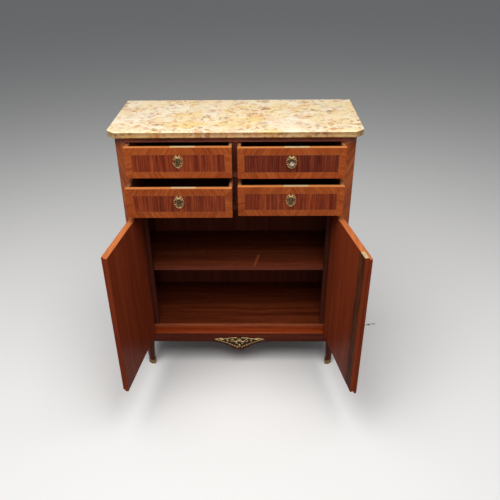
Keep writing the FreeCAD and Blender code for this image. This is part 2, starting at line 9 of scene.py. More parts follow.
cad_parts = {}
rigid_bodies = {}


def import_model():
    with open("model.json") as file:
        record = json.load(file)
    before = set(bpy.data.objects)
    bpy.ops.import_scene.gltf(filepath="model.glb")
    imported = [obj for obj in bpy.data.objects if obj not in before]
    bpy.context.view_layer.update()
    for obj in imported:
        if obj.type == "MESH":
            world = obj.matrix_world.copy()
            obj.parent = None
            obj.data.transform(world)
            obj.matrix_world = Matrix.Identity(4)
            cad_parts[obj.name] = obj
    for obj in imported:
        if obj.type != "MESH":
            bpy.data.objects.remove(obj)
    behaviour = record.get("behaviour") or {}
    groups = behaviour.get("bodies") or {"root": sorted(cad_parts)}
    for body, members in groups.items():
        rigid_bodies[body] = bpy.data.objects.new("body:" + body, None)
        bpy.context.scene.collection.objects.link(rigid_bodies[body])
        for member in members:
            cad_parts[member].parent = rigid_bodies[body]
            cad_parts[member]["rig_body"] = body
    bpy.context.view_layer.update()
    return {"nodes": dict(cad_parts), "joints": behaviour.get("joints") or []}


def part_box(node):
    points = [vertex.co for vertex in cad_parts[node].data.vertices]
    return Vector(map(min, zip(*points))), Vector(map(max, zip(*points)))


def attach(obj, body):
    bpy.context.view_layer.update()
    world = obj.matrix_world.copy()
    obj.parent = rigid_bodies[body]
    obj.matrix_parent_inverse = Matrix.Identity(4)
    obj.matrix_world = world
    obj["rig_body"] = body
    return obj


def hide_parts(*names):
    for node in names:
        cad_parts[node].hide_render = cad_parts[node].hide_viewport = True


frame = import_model()
scene = bpy.context.scene
nodes = frame["nodes"]
print("frame loaded:", len(nodes), "nodes")

# Places that the CAD gives
marbleLow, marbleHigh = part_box("marble_top")
midX = (marbleLow.x + marbleHigh.x) / 2
railLow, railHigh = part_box("frieze_rail")
frontY = railLow.y
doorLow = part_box("door_left")[0].z
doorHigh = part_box("door_left")[1].z
doorJoints = {j["child"]: j for j in frame["joints"] if j["child"] in ("door_left", "door_right")}
# Half the opening between the front posts
openHalf = 0.384


# Shader helpers
def addNode(tree, kind, feeds=None, **settings):
    node = tree.nodes.new(kind)
    for key, value in settings.items():
        setattr(node, key, value)
    for key, value in (feeds or {}).items():
        socket = node.inputs[key]
        if isinstance(value, bpy.types.NodeSocket):
            tree.links.new(value, socket)
        else:
            socket.default_value = value
    return node


def maths(tree, operation, a, b=0.0, c=None, clamp=False):
    feeds = {0: a, 1: b}
    if c is not None:
        feeds[2] = c
    return addNode(tree, "ShaderNodeMath", feeds, operation=operation, use_clamp=clamp).outputs[0]


def vectorMaths(tree, operation, a, b):
    return addNode(tree, "ShaderNodeVectorMath", {0: a, 1: b}, operation=operation).outputs[0]


def blendColour(tree, share, a, b, mode="MIX"):
    feeds = {0: share, 6: a, 7: b}
    return addNode(tree, "ShaderNodeMix", feeds, data_type="RGBA", blend_type=mode).outputs[2]


def mapRange(tree, value, low, high, toLow=0.0, toHigh=1.0):
    feeds = {"Value": value, "From Min": low, "From Max": high, "To Min": toLow, "To Max": toHigh}
    return addNode(tree, "ShaderNodeMapRange", feeds).outputs["Result"]


def noise(tree, vector, scale, detail=3.0, rough=0.55, output="Fac"):
    feeds = {"Vector": vector, "Scale": scale, "Detail": detail, "Roughness": rough}
    return addNode(tree, "ShaderNodeTexNoise", feeds).outputs[output]


def ramp(tree, value, stops):
    node = addNode(tree, "ShaderNodeValToRGB", {"Fac": value})
    parts = node.color_ramp.elements
    while len(parts) < len(stops):
        parts.new(0.5)
    for part, (place, colour) in zip(parts, stops):
        part.position = place
        part.color = (*colour, 1.0)
    return node.outputs["Color"]


def newGroup(name, inputs, outputs, treeKind="ShaderNodeTree"):
    tree = bpy.data.node_groups.new(name, treeKind)
    for label, kind, *value in inputs:
        socket = tree.interface.new_socket(name=label, in_out="INPUT", socket_type="NodeSocket" + kind)
        if value:
            socket.default_value = value[0]
    for label, kind in outputs:
        tree.interface.new_socket(name=label, in_out="OUTPUT", socket_type="NodeSocket" + kind)
    start = tree.nodes.new("NodeGroupInput")
    end = tree.nodes.new("NodeGroupOutput")
    return tree, start.outputs, end.inputs


# Wood: X of the vector runs along the grain, in metres
def makeWoodGroup():
    tree, take, give = newGroup("woodGrain", [
        ("Vector", "Vector"),
        ("Light", "Color", (0.5, 0.2, 0.06, 1)),
        ("Body", "Color", (0.3, 0.1, 0.03, 1)),
        ("Dark", "Color", (0.1, 0.03, 0.01, 1)),
        ("Streaks", "Float", 90.0),
        ("Stretch", "Float", 0.05),
        ("Contrast", "Float", 1.0),
        ("Pores", "Float", 0.5),
        ("Gloss", "Float", 0.3),
    ], [("Color", "Color"), ("Roughness", "Float"), ("Height", "Float")])
    sway = noise(tree, take["Vector"], 2.6, 2.0, output="Color")
    sway = vectorMaths(tree, "SUBTRACT", sway, (0.5, 0.5, 0.5))
    sway = vectorMaths(tree, "MULTIPLY", sway, (0.0, 0.030, 0.030))
    swayed = vectorMaths(tree, "ADD", take["Vector"], sway)
    pull = addNode(tree, "ShaderNodeCombineXYZ", {"X": take["Stretch"], "Y": 1.0, "Z": 1.0}).outputs[0]
    drawn = vectorMaths(tree, "MULTIPLY", swayed, pull)
    wide = noise(tree, drawn, 13.0, 2.0)
    streak = noise(tree, drawn, take["Streaks"], 4.0, 0.62)
    fineScale = maths(tree, "MULTIPLY", take["Streaks"], 6.0)
    fine = noise(tree, drawn, fineScale, 3.0, 0.6)
    figure = noise(tree, take["Vector"], 24.0, 2.0)
    total = maths(tree, "MULTIPLY", streak, 0.52)
    for layer, share in ((wide, 0.26), (fine, 0.16), (figure, 0.06)):
        total = maths(tree, "MULTIPLY_ADD", layer, share, total)
    total = maths(tree, "SUBTRACT", total, 0.5)
    total = maths(tree, "MULTIPLY", total, maths(tree, "MULTIPLY", take["Contrast"], 3.4))
    total = maths(tree, "ADD", total, 0.5, clamp=True)
    low = mapRange(tree, total, 0.0, 0.5)
    high = mapRange(tree, total, 0.5, 1.0)
    colour = blendColour(tree, low, take["Dark"], take["Body"])
    colour = blendColour(tree, high, colour, take["Light"])
    poreVector = vectorMaths(tree, "MULTIPLY", swayed, (0.11, 1.0, 1.0))
    pores = noise(tree, poreVector, 820.0, 1.0, 0.4)
    pores = mapRange(tree, pores, 0.60, 0.72)
    poreShade = maths(tree, "MULTIPLY", pores, take["Pores"])
    colour = blendColour(tree, poreShade, colour, take["Dark"])
    tree.links.new(colour, give["Color"])
    smear = noise(tree, take["Vector"], 9.0, 3.0)
    rough = maths(tree, "MULTIPLY_ADD", fine, 0.10, take["Gloss"])
    rough = maths(tree, "MULTIPLY_ADD", smear, 0.12, rough)
    tree.links.new(maths(tree, "SUBTRACT", rough, 0.11, clamp=True), give["Roughness"])
    height = maths(tree, "MULTIPLY_ADD", fine, 0.5, maths(tree, "MULTIPLY", poreShade, -0.8))
    tree.links.new(height, give["Height"])
    return tree


woodGroup = makeWoodGroup()


def newMaterial(name):
    material = bpy.data.materials.new(name)
    material.use_nodes = True
    tree = material.node_tree
    return material, tree, tree.nodes["Principled BSDF"]


# Places a shared group in a material, gives it the plan's values and joins it to the shader
def joinGroup(tree, shader, group, links, plan, strength, distance):
    made = addNode(tree, "ShaderNodeGroup", node_tree=group)
    for socket in made.inputs:
        if socket.name in links:
            tree.links.new(links[socket.name], socket)
        else:
            value = plan[socket.name.lower()]
            socket.default_value = (*value, 1) if isinstance(value, tuple) else value
    for label, target in (("Color", "Base Color"), ("Roughness", "Roughness"), ("Metallic", "Metallic")):
        if label in made.outputs:
            tree.links.new(made.outputs[label], shader.inputs[target])
    feeds = {"Height": made.outputs["Height"], "Strength": strength, "Distance": distance}
    bump = addNode(tree, "ShaderNodeBump", feeds)
    tree.links.new(bump.outputs[0], shader.inputs["Normal"])


# The grain runs along an axis of the part, or by each leaf's own map
alongX = (0, 0, 0)
alongY = (0, 0, 90)
alongZ = (0, 90, 0)
byLeaf = None
usualWood = {"streaks": 80.0, "stretch": 0.04, "contrast": 0.9, "pores": 0.3, "gloss": 0.28, "shine": 0.08,
             "bump": 0.25, "bumpDepth": 0.0003}


def woodMaterial(name, plan):
    material, tree, shader = newMaterial(name)
    if plan["turn"] is byLeaf:
        vector = addNode(tree, "ShaderNodeUVMap", uv_map="grain").outputs["UV"]
    else:
        vector = addNode(tree, "ShaderNodeTexCoord").outputs["Object"]
        turn = [math.radians(v) for v in plan["turn"]]
        vector = addNode(tree, "ShaderNodeMapping", {"Vector": vector, "Rotation": turn}).outputs[0]
    joinGroup(tree, shader, woodGroup, {"Vector": vector}, plan, plan["bump"], plan["bumpDepth"])
    shader.inputs["Specular IOR Level"].default_value = plan["shine"]
    return material


# Three tones from light to dark, then what differs from the usual wood
def woodPlan(turn, light, body, dark, **changes):
    return {**usualWood, "turn": turn, "light": light, "body": body, "dark": dark, **changes}


woodPlans = {
    "fieldVeneer": woodPlan(byLeaf, (0.402, 0.082, 0.024), (0.226, 0.035, 0.012), (0.079, 0.012, 0.007),
        streaks=150.0, stretch=0.03, contrast=1.2, pores=0.4, gloss=0.26),
    "fieldDeep": woodPlan(byLeaf, (0.266, 0.053, 0.019), (0.149, 0.023, 0.01), (0.054, 0.008, 0.006),
        streaks=150.0, stretch=0.03, contrast=1.2, pores=0.4, gloss=0.26),
    "bandVeneer": woodPlan(byLeaf, (0.531, 0.14, 0.034), (0.39, 0.079, 0.017), (0.215, 0.034, 0.01),
        streaks=120.0, stretch=0.05, contrast=1.0, gloss=0.26),
    "postVeneer": woodPlan(byLeaf, (0.66, 0.19, 0.052), (0.48, 0.106, 0.028), (0.25, 0.044, 0.014),
        streaks=100.0, stretch=0.05, contrast=1.2, gloss=0.26),
    # Painted light: the frieze veneer is lighter than the wood is, to lift the shade under the marble's
    # overhang; the middle rail and post heads share it
    "friezeVeneer": woodPlan(byLeaf, (0.627, 0.191, 0.109), (0.395, 0.116, 0.071), (0.164, 0.048, 0.034),
        streaks=130.0, contrast=1.0, pores=0.35),
    "inlayLine": woodPlan(byLeaf, (0.46, 0.2, 0.066), (0.37, 0.135, 0.04), (0.22, 0.07, 0.018),
        streaks=200.0, stretch=0.05, contrast=0.7, pores=0.2, gloss=0.3),
    "doorWood": woodPlan(alongZ, (0.36, 0.066, 0.023), (0.245, 0.042, 0.015), (0.14, 0.022, 0.009),
        streaks=46.0, stretch=0.035, contrast=0.7, pores=0.12, gloss=0.09, shine=0.012, bump=0.03),
    "apronWood": woodPlan(alongX, (0.18, 0.033, 0.012), (0.112, 0.0185, 0.008), (0.054, 0.009, 0.005),
        pores=0.35),
    "boardX": woodPlan(alongX, (0.33, 0.076, 0.022), (0.22, 0.043, 0.013), (0.105, 0.019, 0.008),
        pores=0.35),
    "insideX": woodPlan(alongX, (0.236, 0.052, 0.015), (0.147, 0.028, 0.009), (0.071, 0.012, 0.006),
        streaks=46.0, stretch=0.03, contrast=1.0, gloss=0.26),
    "shelfX": woodPlan(alongX, (0.348, 0.082, 0.028), (0.22, 0.046, 0.018), (0.106, 0.02, 0.01),
        streaks=46.0, stretch=0.03, contrast=1.0, gloss=0.26),
    "shelfNose": woodPlan(alongX, (0.231, 0.057, 0.028), (0.171, 0.036, 0.018), (0.088, 0.017, 0.009),
        streaks=110.0),
    # Legs: dark brown wood, made darker still as painted shade under the cabinet
    "legWood": woodPlan(alongZ, (0.17, 0.038, 0.016), (0.105, 0.022, 0.01), (0.05, 0.01, 0.006),
        pores=0.35),
    "stopWood": woodPlan(alongZ, (0.13, 0.032, 0.017), (0.078, 0.018, 0.01), (0.04, 0.009, 0.006),
        streaks=46.0, stretch=0.03, contrast=0.6, gloss=0.34, shine=0.04),
    "insideZ": woodPlan(alongZ, (0.25, 0.064, 0.034), (0.15, 0.035, 0.02), (0.072, 0.016, 0.011),
        streaks=46.0, stretch=0.03, contrast=0.55, gloss=0.34, shine=0.04),
    "edgeX": woodPlan(alongX, (0.651, 0.265, 0.086), (0.521, 0.186, 0.054), (0.326, 0.091, 0.024),
        streaks=110.0, contrast=0.7, gloss=0.32),
    "edgeDoor": woodPlan(alongY, (0.61, 0.2, 0.06), (0.48, 0.14, 0.041), (0.3, 0.07, 0.019),
        streaks=110.0, contrast=0.7, gloss=0.32),
    "noseX": woodPlan(alongX, (0.521, 0.155, 0.06), (0.384, 0.099, 0.037), (0.198, 0.045, 0.017),
        streaks=110.0, contrast=0.8),
    "ledgeX": woodPlan(alongX, (0.384, 0.072, 0.013), (0.277, 0.043, 0.008), (0.139, 0.021, 0.006),
        streaks=90.0, contrast=0.8),
    # Painted reflection: the dark strip inside the right door stands in for the dark opening mirrored in the
    # polished face
    "coverWood": woodPlan(byLeaf, (0.2, 0.058, 0.024), (0.09, 0.03, 0.014), (0.03, 0.012, 0.008),
        streaks=90.0, stretch=0.08, contrast=1.7, gloss=0.55, shine=0.03),
    "drawerWood": woodPlan(alongY, (0.46, 0.2, 0.09), (0.33, 0.125, 0.052), (0.17, 0.056, 0.022),
        streaks=70.0, pores=0.4, gloss=0.5),
    "groundWood": woodPlan(alongX, (0.34, 0.155, 0.07), (0.23, 0.094, 0.04), (0.11, 0.042, 0.018),
        streaks=60.0, contrast=1.0, pores=0.4, gloss=0.55),
    "backWood": woodPlan(alongZ, (0.432, 0.216, 0.104), (0.279, 0.126, 0.058), (0.135, 0.056, 0.025),
        streaks=50.0, contrast=1.0, pores=0.4, gloss=0.6),
}
wood = {name: woodMaterial(name, plan) for name, plan in woodPlans.items()}

# Marble: cream ground, broken clasts in yellow, pink, ochre and olive, dark flecks
marblePlan = {"cream": (0.97, 0.79, 0.47), "pale": (0.98, 0.89, 0.70), "yellow": (0.93, 0.68, 0.28),
              "blush": (0.90, 0.58, 0.39), "ochre": (0.76, 0.40, 0.10), "salmon": (0.72, 0.30, 0.15),
              "olive": (0.36, 0.28, 0.14), "brown": (0.20, 0.085, 0.045), "grey": (0.66, 0.56, 0.46),
              # rim: the darker tone of the rim, partly the stone's own ochre and partly painted shade
              "rim": (0.58, 0.43, 0.26)}


def makeMarble(plan):
    material, tree, shader = newMaterial("brecciaMarble")
    place = addNode(tree, "ShaderNodeTexCoord").outputs["Object"]
    bend = noise(tree, place, 22.0, 4.0, 0.65, "Color")
    bend = vectorMaths(tree, "SUBTRACT", bend, (0.5, 0.5, 0.5))
    bent = vectorMaths(tree, "ADD", place, vectorMaths(tree, "MULTIPLY", bend, (0.055, 0.055, 0.055)))

    def cells(scale):
        node = addNode(tree, "ShaderNodeTexVoronoi", {"Vector": bent, "Scale": scale, "Randomness": 1.0})
        split = addNode(tree, "ShaderNodeSeparateColor", {"Color": node.outputs["Color"]})
        return node.outputs["Distance"], split.outputs[0], split.outputs[1]

    def tints(pick, stops):
        return ramp(tree, pick, [(spot, plan[name]) for spot, name in stops])

    def clasts(colour, scale, stops, share, cluster, strength):
        dist, pick, other = cells(scale)
        mask = mapRange(tree, other, share, share + 0.06)
        mask = maths(tree, "MULTIPLY", mask, mapRange(tree, dist, 0.72, 0.42))
        mask = maths(tree, "MULTIPLY", mask, cluster)
        return blendColour(tree, maths(tree, "MULTIPLY", mask, strength), colour, tints(pick, stops))

    stops = [(0.0, "cream"), (0.30, "pale"), (0.60, "cream"), (0.84, "yellow"), (1.0, "pale")]
    ground = tints(cells(13.0)[1], stops)
    cloud = noise(tree, place, 8.0, 4.0, 0.6)
    colour = blendColour(tree, mapRange(tree, cloud, 0.42, 0.72, 0.0, 0.8), ground, (*plan["cream"], 1))
    heap = noise(tree, place, 9.0, 3.0, 0.65)
    heap = mapRange(tree, heap, 0.40, 0.56, 0.25, 1.0)
    drift = noise(tree, vectorMaths(tree, "ADD", place, (3.1, 1.7, 0.4)), 7.0, 3.0, 0.6)
    drift = mapRange(tree, drift, 0.42, 0.58, 0.15, 1.0)
    stops = [(0.0, "blush"), (0.35, "pale"), (0.55, "blush"), (0.80, "grey"), (1.0, "salmon")]
    colour = clasts(colour, 24.0, stops, 0.48, drift, 0.8)
    stops = [(0.0, "salmon"), (0.25, "ochre"), (0.45, "blush"), (0.65, "olive"), (0.82, "ochre"),
             (1.0, "pale")]
    colour = clasts(colour, 44.0, stops, 0.62, heap, 0.85)
    stops = [(0.0, "brown"), (0.35, "salmon"), (0.6, "olive"), (1.0, "brown")]
    colour = clasts(colour, 92.0, stops, 0.80, heap, 0.9)
    # Thin wandering veins
    vein = noise(tree, bent, 13.0, 5.0, 0.6)
    vein = maths(tree, "ABSOLUTE", maths(tree, "SUBTRACT", vein, 0.5))
    vein = mapRange(tree, vein, 0.016, 0.0)
    colour = blendColour(tree, maths(tree, "MULTIPLY", vein, 0.5), colour, (*plan["ochre"], 1))
    # The rim below the polished top is darker and more broken: partly the stone's deeper ochre, partly
    # painted shade on the rim's faces
    height = addNode(tree, "ShaderNodeSeparateXYZ", {"Vector": place}).outputs["Z"]
    below = mapRange(tree, height, marbleHigh.z - 0.0006, marbleHigh.z - 0.0034)
    stops = [(0.0, "salmon"), (0.3, "pale"), (0.5, "olive"), (0.75, "ochre"), (1.0, "brown")]
    rim = clasts(colour, 62.0, stops, 0.60, 1.0, 0.7)
    rim = blendColour(tree, 1.0, rim, (*plan["rim"], 1), "MULTIPLY")
    colour = blendColour(tree, below, colour, rim)
    tree.links.new(colour, shader.inputs["Base Color"])
    polish = noise(tree, place, 30.0, 3.0)
    tree.links.new(mapRange(tree, polish, 0.3, 0.7, 0.16, 0.26), shader.inputs["Roughness"])
    shader.inputs["Coat Weight"].default_value = 0.2
    shader.inputs["Coat Roughness"].default_value = 0.05
    return material


marble = makeMarble(marblePlan)


# Metals: the recess attribute darkens the hollows of chased work
def makeMetalGroup():
    tree, take, give = newGroup("agedMetal", [
        ("Bright", "Color", (0.8, 0.6, 0.3, 1)),
        ("Tarnish", "Color", (0.1, 0.06, 0.02, 1)),
        ("Hollow", "Float", 0.0),
        ("Gloss", "Float", 0.3),
        ("Metal", "Float", 1.0),
        ("Vector", "Vector"),
    ], [("Color", "Color"), ("Roughness", "Float"), ("Metallic", "Float"), ("Height", "Float")])
    blotch = noise(tree, take["Vector"], 90.0, 4.0, 0.6)
    grit = noise(tree, take["Vector"], 900.0, 3.0, 0.6)
    dull = mapRange(tree, blotch, 0.45, 0.8, 0.0, 0.35)
    share = maths(tree, "ADD", take["Hollow"], dull, clamp=True)
    tree.links.new(blendColour(tree, share, take["Bright"], take["Tarnish"]), give["Color"])
    rough = maths(tree, "MULTIPLY_ADD", share, 0.3, take["Gloss"])
    rough = maths(tree, "MULTIPLY_ADD", grit, 0.12, rough)
    tree.links.new(rough, give["Roughness"])
    bare = mapRange(tree, share, 0.2, 1.0, 1.0, 0.55)
    tree.links.new(maths(tree, "MULTIPLY", bare, take["Metal"]), give["Metallic"])
    tree.links.new(grit, give["Height"])
    return tree


metalGroup = makeMetalGroup()


def metalMaterial(name, plan):
    material, tree, shader = newMaterial(name)
    place = addNode(tree, "ShaderNodeTexCoord").outputs["Object"]
    hollow = addNode(tree, "ShaderNodeAttribute", attribute_name="recess").outputs["Fac"]
    joinGroup(tree, shader, metalGroup, {"Vector": place, "Hollow": hollow}, plan, *metalBump)
    return material


# Strength and depth of the metals' fine grit
metalBump = (0.12, 0.0002)
metalPlans = {
    "giltBronze": {"bright": (0.92, 0.66, 0.30), "tarnish": (0.075, 0.045, 0.018), "gloss": 0.24,
                   "metal": 0.85},
    "mountBronze": {"bright": (0.78, 0.52, 0.23), "tarnish": (0.026, 0.015, 0.008), "gloss": 0.18,
                    "metal": 0.95},
    # Sabots: dark bronze, partly tarnish and partly painted shade low under the cabinet
    "sabotBronze": {"bright": (0.26, 0.15, 0.062), "tarnish": (0.060, 0.034, 0.016), "gloss": 0.30,
                    "metal": 0.9},
    "brassPlate": {"bright": (0.80, 0.62, 0.33), "tarnish": (0.42, 0.28, 0.11), "gloss": 0.40, "metal": 0.45},
    "keySteel": {"bright": (0.56, 0.50, 0.42), "tarnish": (0.20, 0.15, 0.10), "gloss": 0.28, "metal": 0.8},
}
metal = {name: metalMaterial(name, plan) for name, plan in metalPlans.items()}
print("materials made:", len(bpy.data.materials))


# Mesh helpers
def meshOf(name, bm):
    mesh = bpy.data.meshes.new(name)
    bm.to_mesh(mesh)
    bm.free()
    return mesh


def linked(name, data):
    made = bpy.data.objects.new(name, data)
    scene.collection.objects.link(made)
    return made


def smoothFaces(bm):
    bmesh.ops.recalc_face_normals(bm, faces=bm.faces)
    for face in bm.faces:
        face.smooth = True


def mergedCopy(node):
    bm = bmesh.new()
    bm.from_mesh(nodes[node].data)
    bmesh.ops.remove_doubles(bm, verts=bm.verts, dist=2e-6)
    return bm


# Faces between closed rings of points, each ring joined to the next
def bridge(bm, rings):
    for a, b in zip(rings, rings[1:]):
        for k in range(len(a)):
            n = (k + 1) % len(a)
            bm.faces.new((a[k], a[n], b[n], b[k]))


def placeMesh(name, bm, materials, body):
    piece = linked(name, meshOf(name, bm))
    for material in materials:
        piece.data.materials.append(material)
    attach(piece, body)
    return piece


# Angles in degrees: faces that count as flat, arrises that are eased, edges that shade sharp
easePlan = {"flat": 0.5, "keen": 28, "sharp": 20, "ease": 0.0007, "lean": 0.75}


# A copy of a CAD board with its arrises eased; faces that look along a given way take a wood of their own
def easedBoard(node, woodName, way=None, faceWood=None, slotName="veneered_wood", plan=easePlan, stepZ=None):
    bm = mergedCopy(node)
    bmesh.ops.dissolve_limit(bm, angle_limit=math.radians(plan["flat"]), verts=bm.verts, edges=bm.edges)
    keen = math.radians(plan["keen"])
    arrises = [e for e in bm.edges if len(e.link_faces) == 2 and e.calc_face_angle(0.0) > keen]
    bmesh.ops.bevel(bm, geom=arrises, offset=plan["ease"], offset_type="OFFSET", segments=2, profile=0.5,
                    affect="EDGES", clamp_overlap=True)
    smoothFaces(bm)
    materials = [wood[woodName]]
    if faceWood:
        materials.append(wood[faceWood])
        for face in bm.faces:
            onStep = stepZ and face.normal.y < -0.9 and face.calc_center_median().z > stepZ
            if face.normal.dot(Vector(way)) > plan["lean"] or onStep:
                face.material_index = 1
    piece = placeMesh(node + ".board", bm, materials, nodes[node]["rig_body"])
    piece.data.set_sharp_from_angle(angle=math.radians(plan["sharp"]))
    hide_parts(node)


up = (0, 0, 1)
ahead = (0, -1, 0)
behind = (0, 1, 0)
boardPlans = {
    "frieze_rail": ("boardX",),
    "mid_rail": ("boardX",),
    "head_board": ("insideX",),
    "drawer_dividers": ("insideZ",),
    "drawer_runners": ("drawerWood",),
    "post_front_left": ("legWood",),
    "post_front_right": ("legWood",),
    "post_rear_left": ("legWood",),
    "post_rear_right": ("legWood",),
    "side_panel_left": ("insideZ",),
    "side_panel_right": ("insideZ",),
    "back_panel": ("insideZ", behind, "backWood"),
    "rear_rails": ("groundWood",),
    "door_stops": ("stopWood",),
    "shelf": ("shelfX", ahead, "shelfNose"),
    "shelf_battens": ("drawerWood",),
    "floor_board": ("insideX", ahead, "noseX"),
    "door_left": ("doorWood", up, "edgeDoor"),
    "door_right": ("doorWood", up, "edgeDoor"),
    "closing_strip": ("doorWood", up, "edgeDoor"),
}
for name, plan in boardPlans.items():
    easedBoard(name, *plan)
# The apron's step and its rounded arris take the ledge's wood
apronEase = {**easePlan, "ease": 0.0022, "lean": 0.3}
easedBoard("apron_rail", "apronWood", up, "ledgeX", plan=apronEase, stepZ=doorLow - 0.0015)
drawerNames = ("drawer_upper_left", "drawer_upper_right", "drawer_lower_left", "drawer_lower_right")
for name in drawerNames:
    easedBoard(name + "_front", "boardX", up, "edgeX")
    easedBoard(name + "_sides", "drawerWood", slotName="carcase_wood")
    for part in ("_back", "_bottom"):
        easedBoard(name + part, "groundWood", slotName="carcase_wood")
print("boards eased")


# Veneers: thin closed slabs that lie on a face, with a grain map along each leaf
veneerPlan = {"lift": 0.00018, "sink": 0.0004, "line": 0.0008, "holeHalf": 0.0045, "holeDrop": 0.0095}


def newVeneer():
    bm = bmesh.new()
    return bm, bm.loops.layers.uv.new("grain")


def leafSlab(veneer, face, corners, grainTurn, seed, materialIndex, mirror=False):
    bm, layer = veneer
    origin, across, rise = face
    outward = across.cross(rise)
    turn = math.radians(grainTurn)
    jump = random.Random(seed)
    shiftU = jump.uniform(0, 9)
    shiftV = jump.uniform(0, 9)

    def grainAt(s, t):
        if mirror:
            s = -s
        u = s * math.cos(turn) + t * math.sin(turn)
        v = -s * math.sin(turn) + t * math.cos(turn)
        return (u + shiftU, v + shiftV)

    tops = []
    bottoms = []
    for s, t in corners:
        point = origin + across * s + rise * t
        tops.append(bm.verts.new(point + outward * veneerPlan["lift"]))
        bottoms.append(bm.verts.new(point - outward * veneerPlan["sink"]))
    count = len(corners)
    rings = [(tops, corners), (bottoms[::-1], corners[::-1])]
    for i in range(count):
        j = (i + 1) % count
        rings.append(([tops[j], tops[i], bottoms[i], bottoms[j]],
                      [corners[j], corners[i], corners[i], corners[j]]))
    for verts, places in rings:
        made = bm.faces.new(verts)
        made.material_index = materialIndex
        for loop, (s, t) in zip(made.loops, places):
            loop[layer].uv = grainAt(s, t)


def rectangle(s0, s1, t0, t1):
    return [(s0, t0), (s1, t0), (s1, t1), (s0, t1)]


def aroundHole(s0, s1, t0, t1, hole):
    if hole is None or hole[0] >= s1 or hole[1] <= s0:
        return [rectangle(s0, s1, t0, t1)]
    h0, h1, k0, k1 = max(hole[0], s0), min(hole[1], s1), hole[2], hole[3]
    parts = [rectangle(s0, s1, t0, k0), rectangle(s0, s1, k1, t1)]
    if h0 > s0:
        parts.append(rectangle(s0, h0, k0, k1))
    if h1 < s1:
        parts.append(rectangle(h1, s1, k0, k1))
    return parts


# The gap that a keyhole leaves in a field
def keyGap(s, t):
    half = veneerPlan["holeHalf"]
    return (s - half, s + half, t - veneerPlan["holeDrop"], t + half)


# A banded panel: mitred crossbanding, an inlaid line and a field of matched leaves
def bandedPanel(veneer, face, width, height, bands, leaves, seed, hole=None, lean=32):
    left, right, low, high = bands
    half, far, top = width / 2, width - right, height - high
    line = veneerPlan["line"]
    a0, a1, b0, b1 = left + line, far - line, low + line, top - line
    # Corners, turn of the grain and wood: six leaves of banding, then the four of the line
    parts = [
        ([(0, 0), (half, 0), (half, low), (left, low)], 90 + lean, 1),
        ([(half, 0), (width, 0), (far, low), (half, low)], 90 - lean, 1),
        ([(left, top), (half, top), (half, height), (0, height)], 90 - lean, 1),
        ([(half, top), (far, top), (width, height), (half, height)], 90 + lean, 1),
        ([(0, 0), (left, low), (left, top), (0, height)], lean * 0.5, 1),
        ([(width, 0), (width, height), (far, top), (far, low)], -lean * 0.5, 1),
        ([(left, low), (far, low), (a1, b0), (a0, b0)], 0, 2),
        ([(a0, b1), (a1, b1), (far, top), (left, top)], 0, 2),
        ([(left, low), (a0, b0), (a0, b1), (left, top)], 90, 2),
        ([(far, low), (far, top), (a1, b1), (a1, b0)], 90, 2),
    ]
    for number, (corners, turn, woodIndex) in enumerate(parts, 1):
        leafSlab(veneer, face, corners, turn, seed + number, woodIndex)
    step = (a1 - a0) / leaves
    for i in range(leaves):
        first = a0 + step * i
        for corners in aroundHole(first, first + step, b0, b1, hole):
            leafSlab(veneer, face, corners, 90, seed + 11 + i // 2, 0, i % 2 == 1)


panelNames = ("fieldVeneer", "bandVeneer", "inlayLine", "friezeVeneer", "postVeneer")
panelWoods = [wood[name] for name in panelNames]
acrossX = Vector((1, 0, 0))
riseZ = Vector((0, 0, 1))

# Drawer fronts
drawerVeneer = {"bands": (0.0235, 0.0235, 0.0215, 0.0235), "leaves": 6, "keyDrop": 0.0485}
for number, name in enumerate(drawerNames):
    low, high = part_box(name + "_front")
    width = high.x - low.x
    height = high.z - low.z
    veneer = newVeneer()
    face = (Vector((low.x, low.y, low.z)), acrossX, riseZ)
    bandedPanel(veneer, face, width, height, drawerVeneer["bands"], drawerVeneer["leaves"],
                100 + 40 * number, keyGap(width / 2, height - drawerVeneer["keyDrop"]))
    field = wood["fieldDeep"] if name == "drawer_upper_right" else wood["fieldVeneer"]
    placeMesh(name + ".veneer", veneer[0], [field] + panelWoods[1:], name)


# Door outsides: drawn closed, then swung about the hinge pin as the CAD is
def doorSwing(body):
    joint = doorJoints[body]
    pin = Vector((joint["pos_m"][0], joint["pos_m"][1], 0))
    opened = math.radians(joint["range_deg"][0]) * -joint["axis"][2]
    return Matrix.Translation(pin) @ Matrix.Rotation(opened, 4, "Z") @ Matrix.Translation(-pin)


doorVeneer = {"bands": (0.034, 0.034, 0.040, 0.040), "nearBand": 0.008, "leaves": 4, "keyX": 0.030}
doorFaces = {"door_left": (-0.383, -0.0103), "door_right": (0.0149, 0.383)}
lockZ = (doorLow + doorHigh) / 2
height = doorHigh - doorLow
for number, (name, (x0, x1)) in enumerate(doorFaces.items()):
    swing = doorSwing(name)
    hole = None
    bands = list(doorVeneer["bands"])
    if name == "door_right":
        bands[0] = doorVeneer["nearBand"]
        hole = keyGap(doorVeneer["keyX"] - x0, height / 2)
    veneer = newVeneer()
    face = (swing @ Vector((midX + x0, frontY, doorLow)), swing.to_3x3() @ acrossX, riseZ)
    bandedPanel(veneer, face, x1 - x0, height, bands, doorVeneer["leaves"], 300 + 40 * number, hole)
    placeMesh(name + ".veneer", veneer[0], panelWoods, name)

# Side panels
sideVeneer = {"bands": (0.034, 0.034, 0.050, 0.040), "leaves": 4}
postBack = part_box("post_front_left")[1].y
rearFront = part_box("post_rear_left")[0].y
for number, (name, sign) in enumerate((("side_panel_left", -1), ("side_panel_right", 1))):
    low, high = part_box(name)
    outX = low.x if sign < 0 else high.x
    startY = postBack if sign > 0 else rearFront
    veneer = newVeneer()
    face = (Vector((outX, startY, low.z)), Vector((0, sign, 0)), riseZ)
    bandedPanel(veneer, face, rearFront - postBack, high.z - low.z, sideVeneer["bands"],
                sideVeneer["leaves"], 500 + 40 * number)
    placeMesh(name + ".veneer", veneer[0], panelWoods, "carcass")

